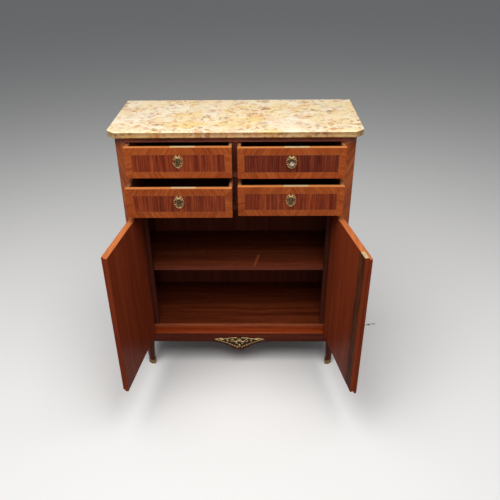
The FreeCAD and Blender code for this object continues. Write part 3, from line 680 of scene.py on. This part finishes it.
# Front posts: slanting grain, a light line and a dark block at the head
postVeneer = {"cant": 0.030, "block": 0.0235, "line": 0.0022, "slant": 48, "foot": 0.001}
for number, (name, sign) in enumerate((("post_front_left", -1), ("post_front_right", 1))):
    low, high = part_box(name)
    outX = high.x if sign > 0 else low.x
    cant = postVeneer["cant"]
    blockZ = high.z - postVeneer["block"]
    lineZ = blockZ - postVeneer["line"]
    footZ = doorLow - postVeneer["foot"]
    slant = postVeneer["slant"] * sign
    points = [Vector((midX + sign * openHalf, frontY, 0)), Vector((outX - sign * cant, frontY, 0)),
              Vector((outX, frontY + cant, 0)), Vector((outX, high.y, 0))]
    if sign < 0:
        points = points[::-1]
    veneer = newVeneer()
    for i in range(3):
        way = points[i + 1] - points[i]
        width = way.length
        face = (points[i], way.normalized(), riseZ)
        leafSlab(veneer, face, rectangle(0, width, blockZ, high.z), 0, 700 + i + 10 * number, 3)
        leafSlab(veneer, face, rectangle(0, width, lineZ, blockZ), 0, 730 + i + 10 * number, 2)
        leafSlab(veneer, face, rectangle(0, width, footZ, lineZ), slant, 760 + 10 * number, 4)
    placeMesh(name + ".veneer", veneer[0], panelWoods, "carcass")

# Frieze rail with a light line under the marble, and middle rail
railLine = 0.003
veneer = newVeneer()
face = (Vector((railLow.x, frontY, 0)), acrossX, riseZ)
s0 = midX - openHalf - railLow.x
s1 = midX + openHalf - railLow.x
midLow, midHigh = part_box("mid_rail")
leafSlab(veneer, face, rectangle(s0, s1, railLow.z, railHigh.z - railLine), 0, 801, 3)
leafSlab(veneer, face, rectangle(s0, s1, railHigh.z - railLine, railHigh.z), 0, 802, 1)
leafSlab(veneer, face, rectangle(s0, s1, midLow.z, midHigh.z), 0, 803, 3)
placeMesh("rails.veneer", veneer[0], panelWoods, "carcass")

# A pale streak on the shelf top where a board joint catches the light: painted light, laid as a thin slip of
# paler wood
paintedLightStreak = {"near": (0.0610, 0.0700), "far": (0.0780, 0.0890), "deep": 0.095, "setBack": 0.0015, "turn": 78}
shelfLow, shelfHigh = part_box("shelf")
veneer = newVeneer()
face = (Vector((midX, shelfLow.y + paintedLightStreak["setBack"], shelfHigh.z)), acrossX, Vector((0, 1, 0)))
corners = [(s, 0) for s in paintedLightStreak["near"]] + [(s, paintedLightStreak["deep"]) for s in paintedLightStreak["far"][::-1]]
leafSlab(veneer, face, corners, paintedLightStreak["turn"], 871, 0)
placeMesh("shelf.slip", veneer[0], [wood["postVeneer"]], "carcass")
print("veneers laid")


# Ornament helpers: local millimetres, x right, y up, z away from the face
def smoothPath(points, steps):
    found = []
    for i in range(len(points) - 1):
        before = Vector(points[max(i - 1, 0)])
        a = Vector(points[i])
        b = Vector(points[i + 1])
        after = Vector(points[min(i + 2, len(points) - 1)])
        for k in range(steps):
            t = k / steps
            found.append(0.5 * (2 * a + (b - before) * t + (2 * before - 5 * a + 4 * b - after) * t * t
                                + (3 * a - before - 3 * b + after) * t ** 3))
    found.append(Vector(points[-1]))
    return found


def spiral(centre, start, radius, turns, way, height, steps=26):
    points = []
    for k in range(steps + 1):
        share = k / steps
        angle = math.radians(start) + way * turns * 2 * math.pi * share
        reach = radius * (1 - 0.78 * share)
        points.append((centre[0] + reach * math.cos(angle), centre[1] + reach * math.sin(angle), height))
    return [Vector(p) for p in points]


def newOrnament():
    bm = bmesh.new()
    return bm, bm.verts.layers.float.new("recess")


def addTube(ornament, points, radii, sides=8, dark=0.0):
    bm, recess = ornament
    rings = []
    last = len(points) - 1
    for i, point in enumerate(points):
        ahead = (points[min(i + 1, last)] - points[max(i - 1, 0)]).normalized()
        side = ahead.cross(Vector((0, 0, 1)))
        side = side.normalized() if side.length > 1e-6 else Vector((1, 0, 0))
        over = side.cross(ahead)
        share = i / last
        radius = radii[0] + (radii[1] - radii[0]) * share
        ring = []
        for k in range(sides):
            turn = 2 * math.pi * k / sides
            vert = bm.verts.new(point + radius * (side * math.cos(turn) + over * math.sin(turn)))
            vert[recess] = max(dark, -math.sin(turn))
            ring.append(vert)
        rings.append(ring)
    bridge(bm, rings)
    bm.faces.new(rings[0][::-1])
    bm.faces.new(rings[-1])


def addBead(ornament, centre, radius, squash=0.8):
    place = Matrix.Translation(Vector(centre)) @ Matrix.Diagonal((1, 1, squash, 1))
    bmesh.ops.create_icosphere(ornament[0], subdivisions=2, radius=radius, matrix=place)


# A leaf that lies along +X: pointed ends, a hollow each side of its rib, the tip lifted
def addLeaf(ornament, root, turn, length, width, lift, height, rows=7):
    bm, recess = ornament
    spin = Matrix.Rotation(math.radians(turn), 3, "Z")
    profile = (-1.0, -0.55, 0.0, 0.55, 1.0)
    rise = (0.10, 0.62, 1.0, 0.62, 0.10)
    tops = []
    for i in range(rows + 1):
        share = i / rows
        half = width / 2 * max(math.sin(math.pi * min(share * 0.92 + 0.06, 1.0)) ** 0.75, 0.04)
        row = []
        for across, up in zip(profile, rise):
            spot = spin @ Vector((share * length, across * half, 0))
            bend = lift * share * share
            vert = bm.verts.new(Vector(root) + spot + Vector((0, 0, height * (0.25 + 0.75 * up) + bend)))
            vert[recess] = 1.0 - up ** 2
            row.append(vert)
        tops.append(row)
    lows = [[bm.verts.new((v.co.x, v.co.y, 0.0)) for v in (row[0], row[-1])] for row in tops]
    for i in range(rows):
        for k in range(4):
            bm.faces.new((tops[i][k], tops[i + 1][k], tops[i + 1][k + 1], tops[i][k + 1]))
        bm.faces.new((lows[i][0], lows[i + 1][0], tops[i + 1][0], tops[i][0]))
        bm.faces.new((tops[i][4], tops[i + 1][4], lows[i + 1][1], lows[i][1]))
        bm.faces.new((lows[i][1], lows[i + 1][1], lows[i + 1][0], lows[i][0]))
    for i, step in ((0, 1), (rows, -1)):
        ring = tops[i][::step] + [lows[i][1], lows[i][0]][::step]
        bm.faces.new(ring)


# A copy of a shape at each point, turned by an angle about its own Z
def turnedCopies(tree, points, shape, facing, angle, **feeds):
    turn = addNode(tree, "FunctionNodeAxisAngleToRotation", {"Axis": (0, 0, 1), "Angle": angle}).outputs[0]
    turned = addNode(tree, "FunctionNodeRotateRotation", {"Rotation": facing, "Rotate By": turn},
                     rotation_space="LOCAL").outputs[0]
    feeds = {"Points": points, "Instance": shape, "Rotation": turned, **feeds}
    return addNode(tree, "GeometryNodeInstanceOnPoints", feeds).outputs[0]


def realCopies(tree, copies, take, give):
    real = addNode(tree, "GeometryNodeRealizeInstances", {"Geometry": copies}).outputs[0]
    done = addNode(tree, "GeometryNodeSetMaterial", {"Geometry": real, "Material": take["Material"]})
    tree.links.new(done.outputs[0], give[0])


# Leaf sprays by Geometry Nodes: pairs of leaves along a path, smaller towards its end
def makeSprayTree():
    inputs = [("Geometry", "Geometry"), ("Leaf", "Object"), ("Count", "Int"), ("Splay", "Float"),
              ("First Size", "Float"), ("Last Size", "Float"), ("Material", "Material")]
    tree, take, give = newGroup("leafSpray", inputs, [("Geometry", "Geometry")], "GeometryNodeTree")
    path = addNode(tree, "GeometryNodeMeshToCurve", {"Mesh": take["Geometry"]}).outputs["Curve"]
    path = addNode(tree, "GeometryNodeResampleCurve", {"Curve": path, "Count": take["Count"]})
    path = path.outputs["Curve"]
    along = tree.nodes.new("GeometryNodeInputTangent").outputs[0]
    share = tree.nodes.new("GeometryNodeSplineParameter").outputs["Factor"]
    size = mapRange(tree, share, 0.0, 1.0, take["First Size"], take["Last Size"])
    leaf = addNode(tree, "GeometryNodeObjectInfo", {"Object": take["Leaf"]}).outputs["Geometry"]
    facing = addNode(tree, "FunctionNodeAlignRotationToVector", {"Vector": along}, axis="X", pivot_axis="Z")
    joined = tree.nodes.new("GeometryNodeJoinGeometry")
    for way in (1.0, -1.0):
        splay = maths(tree, "MULTIPLY", take["Splay"], way)
        placed = turnedCopies(tree, path, leaf, facing.outputs[0], splay, Scale=size)
        tree.links.new(placed, joined.inputs[0])
    realCopies(tree, joined.outputs[0], take, give)
    return tree


# Screws by Geometry Nodes: one slotted head at each point, facing as the point's attribute says
def makeScrewTree():
    inputs = [("Geometry", "Geometry"), ("Head", "Object"), ("Seed", "Int"), ("Material", "Material")]
    tree, take, give = newGroup("slottedScrews", inputs, [("Geometry", "Geometry")], "GeometryNodeTree")
    spots = addNode(tree, "GeometryNodeMeshToPoints", {"Mesh": take["Geometry"]}).outputs[0]
    way = addNode(tree, "GeometryNodeInputNamedAttribute", {"Name": "facing"}, data_type="FLOAT_VECTOR")
    facing = addNode(tree, "FunctionNodeAlignRotationToVector", {"Vector": way.outputs[0]}, axis="Z")
    angle = addNode(tree, "FunctionNodeRandomValue", {"Min": 0.0, "Max": 3.1, "Seed": take["Seed"]},
                    data_type="FLOAT")
    angle = [s for s in angle.outputs if s.enabled][0]
    head = addNode(tree, "GeometryNodeObjectInfo", {"Object": take["Head"]}).outputs["Geometry"]
    realCopies(tree, turnedCopies(tree, spots, head, facing.outputs[0], angle), take, give)
    return tree


# Runs a tree on an object and gives back a plain mesh; the object goes
def runTree(carrier, tree, values):
    modifier = carrier.modifiers.new("tree", "NODES")
    modifier.node_group = tree
    for item in tree.interface.items_tree:
        if item.in_out == "INPUT" and item.name in values:
            modifier[item.identifier] = values[item.name]
    bpy.context.view_layer.update()
    seen = carrier.evaluated_get(bpy.context.evaluated_depsgraph_get())
    mesh = bpy.data.meshes.new_from_object(seen)
    carrier.modifiers.remove(modifier)
    bpy.data.objects.remove(carrier)
    return mesh


def pour(ornament, mesh, place=None):
    bm, recess = ornament
    marks = mesh.attributes.get("recess")
    made = []
    for i, vert in enumerate(mesh.vertices):
        fresh = bm.verts.new(place @ vert.co if place else vert.co)
        fresh[recess] = marks.data[i].value if marks else 0.0
        made.append(fresh)
    for polygon in mesh.polygons:
        bm.faces.new([made[i] for i in polygon.vertices])


sprayTree = makeSprayTree()
screwTree = makeScrewTree()


def addSpray(ornament, points, plan):
    leaf = newOrnament()
    addLeaf(leaf, (0, 0, 0), 0, *plan["leaf"], 5)
    master = linked("leafMaster", meshOf("leafMaster", leaf[0]))
    line = bmesh.new()
    spots = [line.verts.new(p) for p in points]
    for a, b in zip(spots, spots[1:]):
        line.edges.new((a, b))
    carrier = linked("sprayPath", meshOf("sprayPath", line))
    first, last = plan["sizes"]
    mesh = runTree(carrier, sprayTree, {"Leaf": master, "Count": plan["pairs"],
                                        "Splay": math.radians(plan["splay"]), "First Size": first,
                                        "Last Size": last, "Material": metal["giltBronze"]})
    pour(ornament, mesh)
    bpy.data.meshes.remove(mesh)
    bpy.data.objects.remove(master)


def flip(points, sign):
    return [Vector((p[0] * sign, p[1], p[2])) for p in points]


def finishOrnament(ornament, name):
    smoothFaces(ornament[0])
    return meshOf(name, ornament[0])


# Escutcheon: a shield round the keyhole, two laurel sprays, a ribbon bow and a leaf below
escutcheonPlan = {
    "outline": [(0, -17.6), (5.2, -12.6), (9.0, -6.0), (10.0, 2.5), (9.4, 10.4), (5.0, 13.2), (0, 12.0)],
    "spray": [(0.8, -20.0, 0.9), (6.0, -16.4, 0.9), (11.4, -11.2, 0.9), (14.8, -4.0, 0.9), (15.4, 4.0, 0.9),
              (13.8, 11.4, 0.9), (10.4, 17.2, 0.9), (6.6, 21.4, 0.9)],
    "bow": [(0, 15.0, 1.6), (3.0, 18.4, 2.0), (6.0, 19.6, 1.9), (7.0, 17.2, 1.7), (3.8, 15.2, 1.7),
            (0, 14.4, 1.6)],
    "ribbon": [(0, 14.8, 1.4), (2.6, 12.8, 1.6), (5.6, 13.4, 1.4), (8.0, 15.4, 1.2)],
    "stays": [[(8.6, 9.6, 1.1), (14.4, 11.2, 1.1)], [(8.4, -5.4, 1.1), (14.6, -6.8, 1.1)]],
    "keyRadius": 2.7, "slotHalf": 1.3, "slotDrop": 7.2, "steps": 96,
    "rings": [(0.0, 0.0, 1.0), (0.0, 1.6, 0.9), (0.14, 1.7, 0.75), (0.26, 1.0, 1.0), (0.70, 1.0, 1.0),
              (0.80, 2.0, 0.7), (0.92, 2.1, 0.6), (1.0, 1.2, 0.9), (1.0, 0.0, 1.0)],
    "leaf": (4.6, 2.2, 0.9, 1.8), "pairs": 9, "splay": 54, "sizes": (1.0, 0.8),
    "stemThick": (0.8, 0.6), "stemDark": 0.8, "bowThick": (1.0, 1.0), "stayThick": (0.9, 0.9),
    "ribbonThick": (0.9, 0.6), "berry": 1.3, "berryOut": 1.4, "berryHigh": 1.9,
    "knot": (0, 15.0, 1.9), "knotRadius": 1.9, "drop": ((0, -16.6, 0), -90, 6.6, 5.2, 0.5, 2.8),
}


def outlineReach(corners, angle):
    way = Vector((math.cos(angle), math.sin(angle)))
    best = 0.0
    for a, b in zip(corners, corners[1:] + corners[:1]):
        a = Vector(a)
        edge = Vector(b) - a
        cross = way.x * edge.y - way.y * edge.x
        if abs(cross) < 1e-9:
            continue
        reach = (a.x * edge.y - a.y * edge.x) / cross
        share = (a.x * way.y - a.y * way.x) / cross
        if reach > 0 and -1e-6 <= share <= 1 + 1e-6:
            best = max(best, reach)
    return best


def makeEscutcheon(plan):
    ornament = newOrnament()
    bm, recess = ornament
    half = plan["outline"]
    corners = half + [(-x, y) for x, y in half[-2:0:-1]]
    rings = [[] for ring in plan["rings"]]
    for k in range(plan["steps"]):
        angle = 2 * math.pi * k / plan["steps"]
        along, rise = math.cos(angle), math.sin(angle)
        inner = plan["keyRadius"]
        if rise < 0:
            inner = max(inner, min(plan["slotHalf"] / max(abs(along), 1e-6), plan["slotDrop"] / -rise))
        outer = outlineReach(corners, angle)
        for ring, (share, height, dark) in zip(rings, plan["rings"]):
            reach = inner + (outer - inner) * share
            vert = bm.verts.new((reach * along, reach * rise, height))
            vert[recess] = dark
            ring.append(vert)
    bridge(bm, rings + rings[:1])
    for sign in (1, -1):
        path = flip(smoothPath(plan["spray"], 6), sign)
        addTube(ornament, path, plan["stemThick"], dark=plan["stemDark"])
        addSpray(ornament, path, plan)
        for p in path[3::6]:
            addBead(ornament, (p.x + sign * plan["berryOut"], p.y, plan["berryHigh"]), plan["berry"])
        addTube(ornament, flip(smoothPath(plan["bow"], 6), sign), plan["bowThick"])
        for stay in plan["stays"]:
            addTube(ornament, flip(stay, sign), plan["stayThick"])
        addTube(ornament, flip(smoothPath(plan["ribbon"], 5), sign), plan["ribbonThick"])
    addBead(ornament, plan["knot"], plan["knotRadius"])
    addLeaf(ornament, *plan["drop"])
    return finishOrnament(ornament, "escutcheonShape")


# Apron mount: leaf branches along its edges, scrolls, a shell in the middle and a leaf pendant
mountPlan = {
    "top": [(9, 21.6, 2.4), (30, 20.2, 2.4), (52, 17.6, 2.2), (68, 15.4, 2.0)],
    "low": [(7, -27.0, 2.2), (28, -16.0, 2.2), (50, -6.4, 2.2), (74, 3.6, 2.0), (98, 10.8, 1.8)],
    "rim": [(3, -31.0, 1.4), (27, -19.2, 1.4), (50, -9.6, 1.4), (78, 1.0, 1.4), (106, 10.6, 1.2)],
    "leaf": (7.4, 2.8, 1.0, 2.4), "pairs": 9, "splay": 44, "sizes": (1.0, 0.72),
    "topThick": (1.2, 0.9), "lowThick": (1.2, 0.8), "rimThick": (0.9, 0.7), "rimSides": 6, "rimDark": 0.85,
    "scrollThick": (1.3, 0.8), "scrollHigh": 2.4, "linkThick": (1.2, 1.1),
    "tipLeaves": [(0, 41, 5.4), (14, 24, 4.6), (-16, 24, 4.6), (34, 13, 4.0), (-38, 13, 4.0)],
    "shell": [(90, 18, 6.2), (63, 17, 6.0), (117, 17, 6.0), (37, 15, 5.6), (143, 15, 5.6), (12, 12, 5.0),
              (168, 12, 5.0)],
    "pendant": [(-90, 18, 6.4), (-62, 14, 5.4), (-118, 14, 5.4), (-34, 10, 4.6), (-146, 10, 4.6)],
    "scrolls": [((31, 5.5), 210, 9.0, 1.25, -1), ((52, 6.5), 30, 6.0, 1.1, 1),
                ((11, -5.5), 100, 6.0, 1.15, -1)],
    "link": [(4, 4.0, 2.2), (13, 1.2, 2.4), (23, 1.6, 2.4)], "tip": (66, 14.6, 0), "tipBead": (66, 14.8, 2.4),
    "tipRadius": 2.6, "tipCurl": (0.8, 3.2), "shellRoot": (0, 5.6, 0), "pendantRoot": (0, -13.0, 0),
    "fanCurl": (1.3, 3.4), "fanHigh": 3.2, "fanRadius": 3.0, "rise": 0.043, "plate": 0.0011,
}


def makeMount(plan):
    ornament = newOrnament()
    for sign in (1, -1):
        addTube(ornament, flip(smoothPath(plan["top"], 5), sign), plan["topThick"])
        low = flip(smoothPath(plan["low"], 6), sign)
        addTube(ornament, low, plan["lowThick"])
        addSpray(ornament, low, plan)
        rim = flip(smoothPath(plan["rim"], 6), sign)
        addTube(ornament, rim, plan["rimThick"], plan["rimSides"], plan["rimDark"])
        root, bead = flip([plan["tip"], plan["tipBead"]], sign)
        for turn, length, width in plan["tipLeaves"]:
            heading = turn if sign > 0 else 180 - turn
            addLeaf(ornament, root, heading, length, width, *plan["tipCurl"])
        addBead(ornament, bead, plan["tipRadius"])
        for scroll in plan["scrolls"]:
            addTube(ornament, flip(spiral(*scroll, plan["scrollHigh"]), sign), plan["scrollThick"])
        addTube(ornament, flip(smoothPath(plan["link"], 5), sign), plan["linkThick"])
    for fan in ("shell", "pendant"):
        root = plan[fan + "Root"]
        for turn, length, width in plan[fan]:
            addLeaf(ornament, root, turn, length, width, *plan["fanCurl"])
        addBead(ornament, (root[0], root[1], plan["fanHigh"]), plan["fanRadius"])
    return finishOrnament(ornament, "mountShape")


# Edges of the chased work that shade sharp, in degrees
ornamentSharp = 48


# A place on a front face: local millimetres to metres, z towards -Y
def onFront(x, y, z):
    turned = Matrix(((1, 0, 0), (0, 0, -1), (0, 1, 0))).to_4x4()
    return Matrix.Translation((x, y, z)) @ turned @ Matrix.Scale(0.001, 4)


def placeOrnament(mesh, name, place, body, node, finish="giltBronze", extra=None):
    ornament = newOrnament()
    pour(ornament, mesh, place)
    if extra:
        pour(ornament, extra)
    smoothFaces(ornament[0])
    piece = placeMesh(name, ornament[0], [metal[finish]], body)
    piece.data.set_sharp_from_angle(angle=math.radians(ornamentSharp))
    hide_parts(node)


escutcheonShape = makeEscutcheon(escutcheonPlan)
for name in drawerNames:
    low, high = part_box(name + "_front")
    spot = onFront((low.x + high.x) / 2, low.y, high.z - drawerVeneer["keyDrop"])
    placeOrnament(escutcheonShape, name + ".escutcheon", spot, name, name + "_escutcheon")
spot = doorSwing("door_right") @ onFront(midX + doorVeneer["keyX"], frontY, lockZ)
placeOrnament(escutcheonShape, "door_right.escutcheon", spot, "door_right", "door_escutcheon")


# The mount's back plate: the CAD plate, thinned so that the relief stands out from it
def mountPlate(thick):
    bm = mergedCopy("apron_mount")
    recess = bm.verts.layers.float.new("recess")
    for vert in bm.verts:
        vert.co.y = max(vert.co.y, frontY - thick)
        vert[recess] = 1.0
    return meshOf("mountPlate", bm)


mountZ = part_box("apron_rail")[0].z + mountPlan["rise"]
placeOrnament(makeMount(mountPlan), "apron.mount", onFront(midX, frontY, mountZ), "carcass", "apron_mount",
              "mountBronze", mountPlate(mountPlan["plate"]))
print("ornaments made")


# Screws: slotted heads on the lock plates, bolt plates and hinge leaves
screwPlan = {"radius": 0.0022, "proud": 0.00022, "sunk": 0.0006, "slot": 0.0003, "sides": 14,
             "edge": 0.006, "back": 0.007, "drop": 0.012}


def screwHead(plan):
    bm = bmesh.new()
    for way in (1, -1):
        first = math.asin(plan["slot"] / plan["radius"])
        tops = []
        lows = []
        for k in range(plan["sides"] // 2 + 1):
            angle = first + (math.pi - 2 * first) * k / (plan["sides"] // 2)
            x = way * plan["radius"] * math.cos(angle)
            y = way * plan["radius"] * math.sin(angle)
            tops.append(bm.verts.new((x, y, plan["proud"])))
            lows.append(bm.verts.new((x, y, -plan["sunk"])))
        bm.faces.new(tops)
        bm.faces.new(lows[::-1])
        bridge(bm, [lows, tops])
    bmesh.ops.create_cone(bm, cap_ends=True, segments=plan["sides"], radius1=plan["radius"] * 0.98,
                          radius2=plan["radius"] * 0.98, depth=plan["sunk"] * 0.6,
                          matrix=Matrix.Translation((0, 0, -plan["sunk"] * 0.5)))
    return linked("screwMaster", meshOf("screwMaster", bm))


def addScrews(name, body, places, seed):
    points = bpy.data.meshes.new(name + "Spots")
    points.from_pydata([p for p, way in places], [], [])
    facing = points.attributes.new("facing", "FLOAT_VECTOR", "POINT")
    for i, (p, way) in enumerate(places):
        facing.data[i].vector = way
    carrier = linked(name + "Spots", points)
    head = screwHead(screwPlan)
    mesh = runTree(carrier, screwTree, {"Head": head, "Seed": seed, "Material": metal["brassPlate"]})
    bpy.data.objects.remove(head)
    bm = bmesh.new()
    bm.from_mesh(mesh)
    bpy.data.meshes.remove(mesh)
    placeMesh(name, bm, [metal["brassPlate"]], body)


for number, name in enumerate(drawerNames):
    low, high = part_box(name + "_lock")
    places = []
    for x in (low.x + screwPlan["edge"], high.x - screwPlan["edge"]):
        places.append((Vector((x, high.y - screwPlan["back"], high.z)), Vector((0, 0, 1))))
        for z in (low.z + screwPlan["edge"], high.z - screwPlan["drop"]):
            places.append((Vector((x, high.y, z)), Vector((0, 1, 0))))
    addScrews(name + ".screws", name, places, 11 + number)
doorPlan = {"plateX": (0.0105, 0.0420), "plateY": 0.0155, "leafX": 0.38375, "leafIn": 0.0104,
            "hingeInset": 0.062, "hingeLength": 0.064, "screwShares": (0.16, 0.5, 0.84)}
swing = doorSwing("door_right")
places = []
for x in doorPlan["plateX"]:
    for z, way in ((doorHigh, 1), (doorLow, -1)):
        places.append((swing @ Vector((midX + x, frontY + doorPlan["plateY"], z)), Vector((0, 0, way))))
addScrews("door_right.screws", "door_right", places, 21)
places = []
leafLength = doorPlan["hingeLength"]
leafBases = (doorLow + doorPlan["hingeInset"], doorHigh - doorPlan["hingeInset"] - leafLength)
for sign in (-1, 1):
    for base in leafBases:
        for share in doorPlan["screwShares"]:
            x = midX + sign * doorPlan["leafX"]
            spot = Vector((x, frontY + doorPlan["leafIn"], base + share * leafLength))
            places.append((spot, Vector((-sign, 0, 0))))
addScrews("hinge.screws", "carcass", places, 31)
print("screws set")


# The dark strip down the inside of the right door near its free edge: painted reflection of the dark opening
# and the shade at the far jamb, laid as a thin sheet of dark glossy wood
paintedReflectionPlan = {"near": 0.0050, "far": 0.0600, "thick": 0.022, "low": 0.004, "high": 0.002}
veneer = newVeneer()
face = (swing @ Vector((midX + paintedReflectionPlan["far"], frontY + paintedReflectionPlan["thick"], doorLow)),
        swing.to_3x3() @ Vector((-1, 0, 0)), riseZ)
corners = rectangle(0, paintedReflectionPlan["far"] - paintedReflectionPlan["near"], paintedReflectionPlan["low"],
                    doorHigh - doorLow - paintedReflectionPlan["high"])
leafSlab(veneer, face, corners, 90, 901, 0)
placeMesh("door_right.cover", veneer[0], [wood["coverWood"]], "door_right")


# Marble: the slab with its rim drawn as rings, corners of the cants softened; the profile is in millimetres
marbleShape = {
    "cant": 0.030, "corner": 0.008, "sharp": 40,
    "profile": [(4.0, 0.0), (2.5, -0.2), (1.4, -0.8), (0.7, -1.8), (0.4, -3.2), (0.8, -5.6), (1.4, -8.6),
                (1.6, -11.6), (1.1, -14.8), (0.3, -17.4), (0.1, -19.2), (0.9, -20.9), (2.6, -21.8),
                (4.6, -22.0)],
}


def marbleRing(inset, plan):
    half = (marbleHigh.x - marbleLow.x) / 2
    front = marbleLow.y
    turn = inset * math.tan(math.radians(22.5))
    side = half - inset
    corners = [Vector((side, front + plan["cant"] + turn)),
               Vector((half - plan["cant"] - turn, front + inset))]
    points = [Vector((side, marbleHigh.y))]
    before = points[0]
    for i, corner in enumerate(corners):
        after = corners[1] if i == 0 else Vector((0, front + inset))
        a = corner + (before - corner).normalized() * plan["corner"]
        b = corner + (after - corner).normalized() * plan["corner"]
        for k in range(5):
            t = k / 4
            points.append(a * (1 - t) ** 2 + corner * 2 * t * (1 - t) + b * t * t)
        before = corner
    mirrored = [Vector((-p.x, p.y)) for p in reversed(points)]
    return [Vector((midX + p.x, p.y)) for p in points + mirrored]


def makeMarbleTop(plan):
    bm = bmesh.new()
    rings = []
    for inset, drop in plan["profile"]:
        ring = marbleRing(inset * 0.001, plan)
        rings.append([bm.verts.new((p.x, p.y, marbleHigh.z + drop * 0.001)) for p in ring])
    bm.faces.new(rings[0])
    bm.faces.new(rings[-1])
    bridge(bm, rings)
    smoothFaces(bm)
    piece = placeMesh("marble.slab", bm, [marble], "carcass")
    piece.data.set_sharp_from_angle(angle=math.radians(plan["sharp"]))
    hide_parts("marble_top")


makeMarbleTop(marbleShape)
print("marble laid")

# Finishes of the CAD pieces that stay as they are
for name, node in nodes.items():
    if node.hide_render:
        continue
    if "lock" in name or "hinge_leaves" in name or name == "bolt_plates":
        finish = metal["brassPlate"]
    elif name.endswith(("_key", "_bolt")):
        finish = metal["keySteel"]
    elif name == "sabots":
        finish = metal["sabotBronze"]
    else:
        finish = metal["giltBronze"]
    node.data.materials.clear()
    node.data.materials.append(finish)

# Floor, lamps and camera
floorPlan = {"seen": (0.88, 0.88, 0.88), "bounce": (0.16, 0.155, 0.15), "size": 60.0}


def makeFloor(plan):
    bm = bmesh.new()
    bmesh.ops.create_grid(bm, x_segments=1, y_segments=1, size=plan["size"] / 2)
    floor = linked("studioFloor", meshOf("studioFloor", bm))
    material, tree, shader = newMaterial("studioFloor")
    rays = addNode(tree, "ShaderNodeLightPath").outputs
    seen = maths(tree, "ADD", rays["Is Camera Ray"], rays["Is Glossy Ray"])
    seen = maths(tree, "ADD", seen, rays["Is Transmission Ray"], clamp=True)
    colour = blendColour(tree, seen, (*plan["bounce"], 1), (*plan["seen"], 1))
    tree.links.new(colour, shader.inputs["Base Color"])
    shader.inputs["Roughness"].default_value = 0.9
    shader.inputs["Specular IOR Level"].default_value = 0.0
    floor.data.materials.append(material)


makeFloor(floorPlan)

lampPlan = {
    "overhead": {"spot": (-0.15, -1.0, 3.2), "aim": (0, 0.0, 0.75), "size": 3.3, "watts": 128,
                 "tint": (1, 0.985, 0.96)},
    "fill": {"spot": (0.3, -4.2, 1.5), "aim": (0, 0.2, 0.5), "size": 2.6, "watts": 15,
             "tint": (1, 0.98, 0.95)},
}
for name, plan in lampPlan.items():
    lamp = bpy.data.lights.new(name, "AREA")
    lamp.size = plan["size"]
    lamp.energy = plan["watts"]
    lamp.color = plan["tint"]
    holder = linked(name, lamp)
    holder.location = plan["spot"]
    way = Vector(plan["aim"]) - Vector(plan["spot"])
    holder.rotation_euler = way.to_track_quat("-Z", "Y").to_euler()
skyPlan = {"Color": (0.9, 0.92, 0.95, 1), "Strength": 0.16}
world = bpy.data.worlds.new("studio")
world.use_nodes = True
for name, value in skyPlan.items():
    world.node_tree.nodes["Background"].inputs[name].default_value = value
scene.world = world
scene.view_settings.view_transform = "Standard"

cameraPlan = {"spot": (midX + 0.08547, frontY - 2.0467, 1.6204), "pitch": 34.85, "yaw": -1.38, "roll": -0.71,
              "lens": 42.10, "shift": (0.00486, 0.156)}


def makeCamera(plan):
    pitch = math.radians(plan["pitch"])
    yaw = math.radians(plan["yaw"])
    roll = math.radians(plan["roll"])
    forward = Vector((math.sin(yaw) * math.cos(pitch), math.cos(yaw) * math.cos(pitch), -math.sin(pitch)))
    right = Vector((math.cos(yaw), -math.sin(yaw), 0))
    down = forward.cross(right)
    camX = right * math.cos(roll) - down * math.sin(roll)
    camY = -(right * math.sin(roll) + down * math.cos(roll))
    lens = bpy.data.cameras.new("camera")
    lens.lens = plan["lens"]
    lens.sensor_width = 36.0
    lens.sensor_fit = "HORIZONTAL"
    lens.shift_x, lens.shift_y = plan["shift"]
    holder = linked("camera", lens)
    turned = Matrix((camX, camY, -forward)).transposed().to_4x4()
    holder.matrix_world = Matrix.Translation(Vector(plan["spot"])) @ turned
    scene.camera = holder


makeCamera(cameraPlan)
print("stage set")
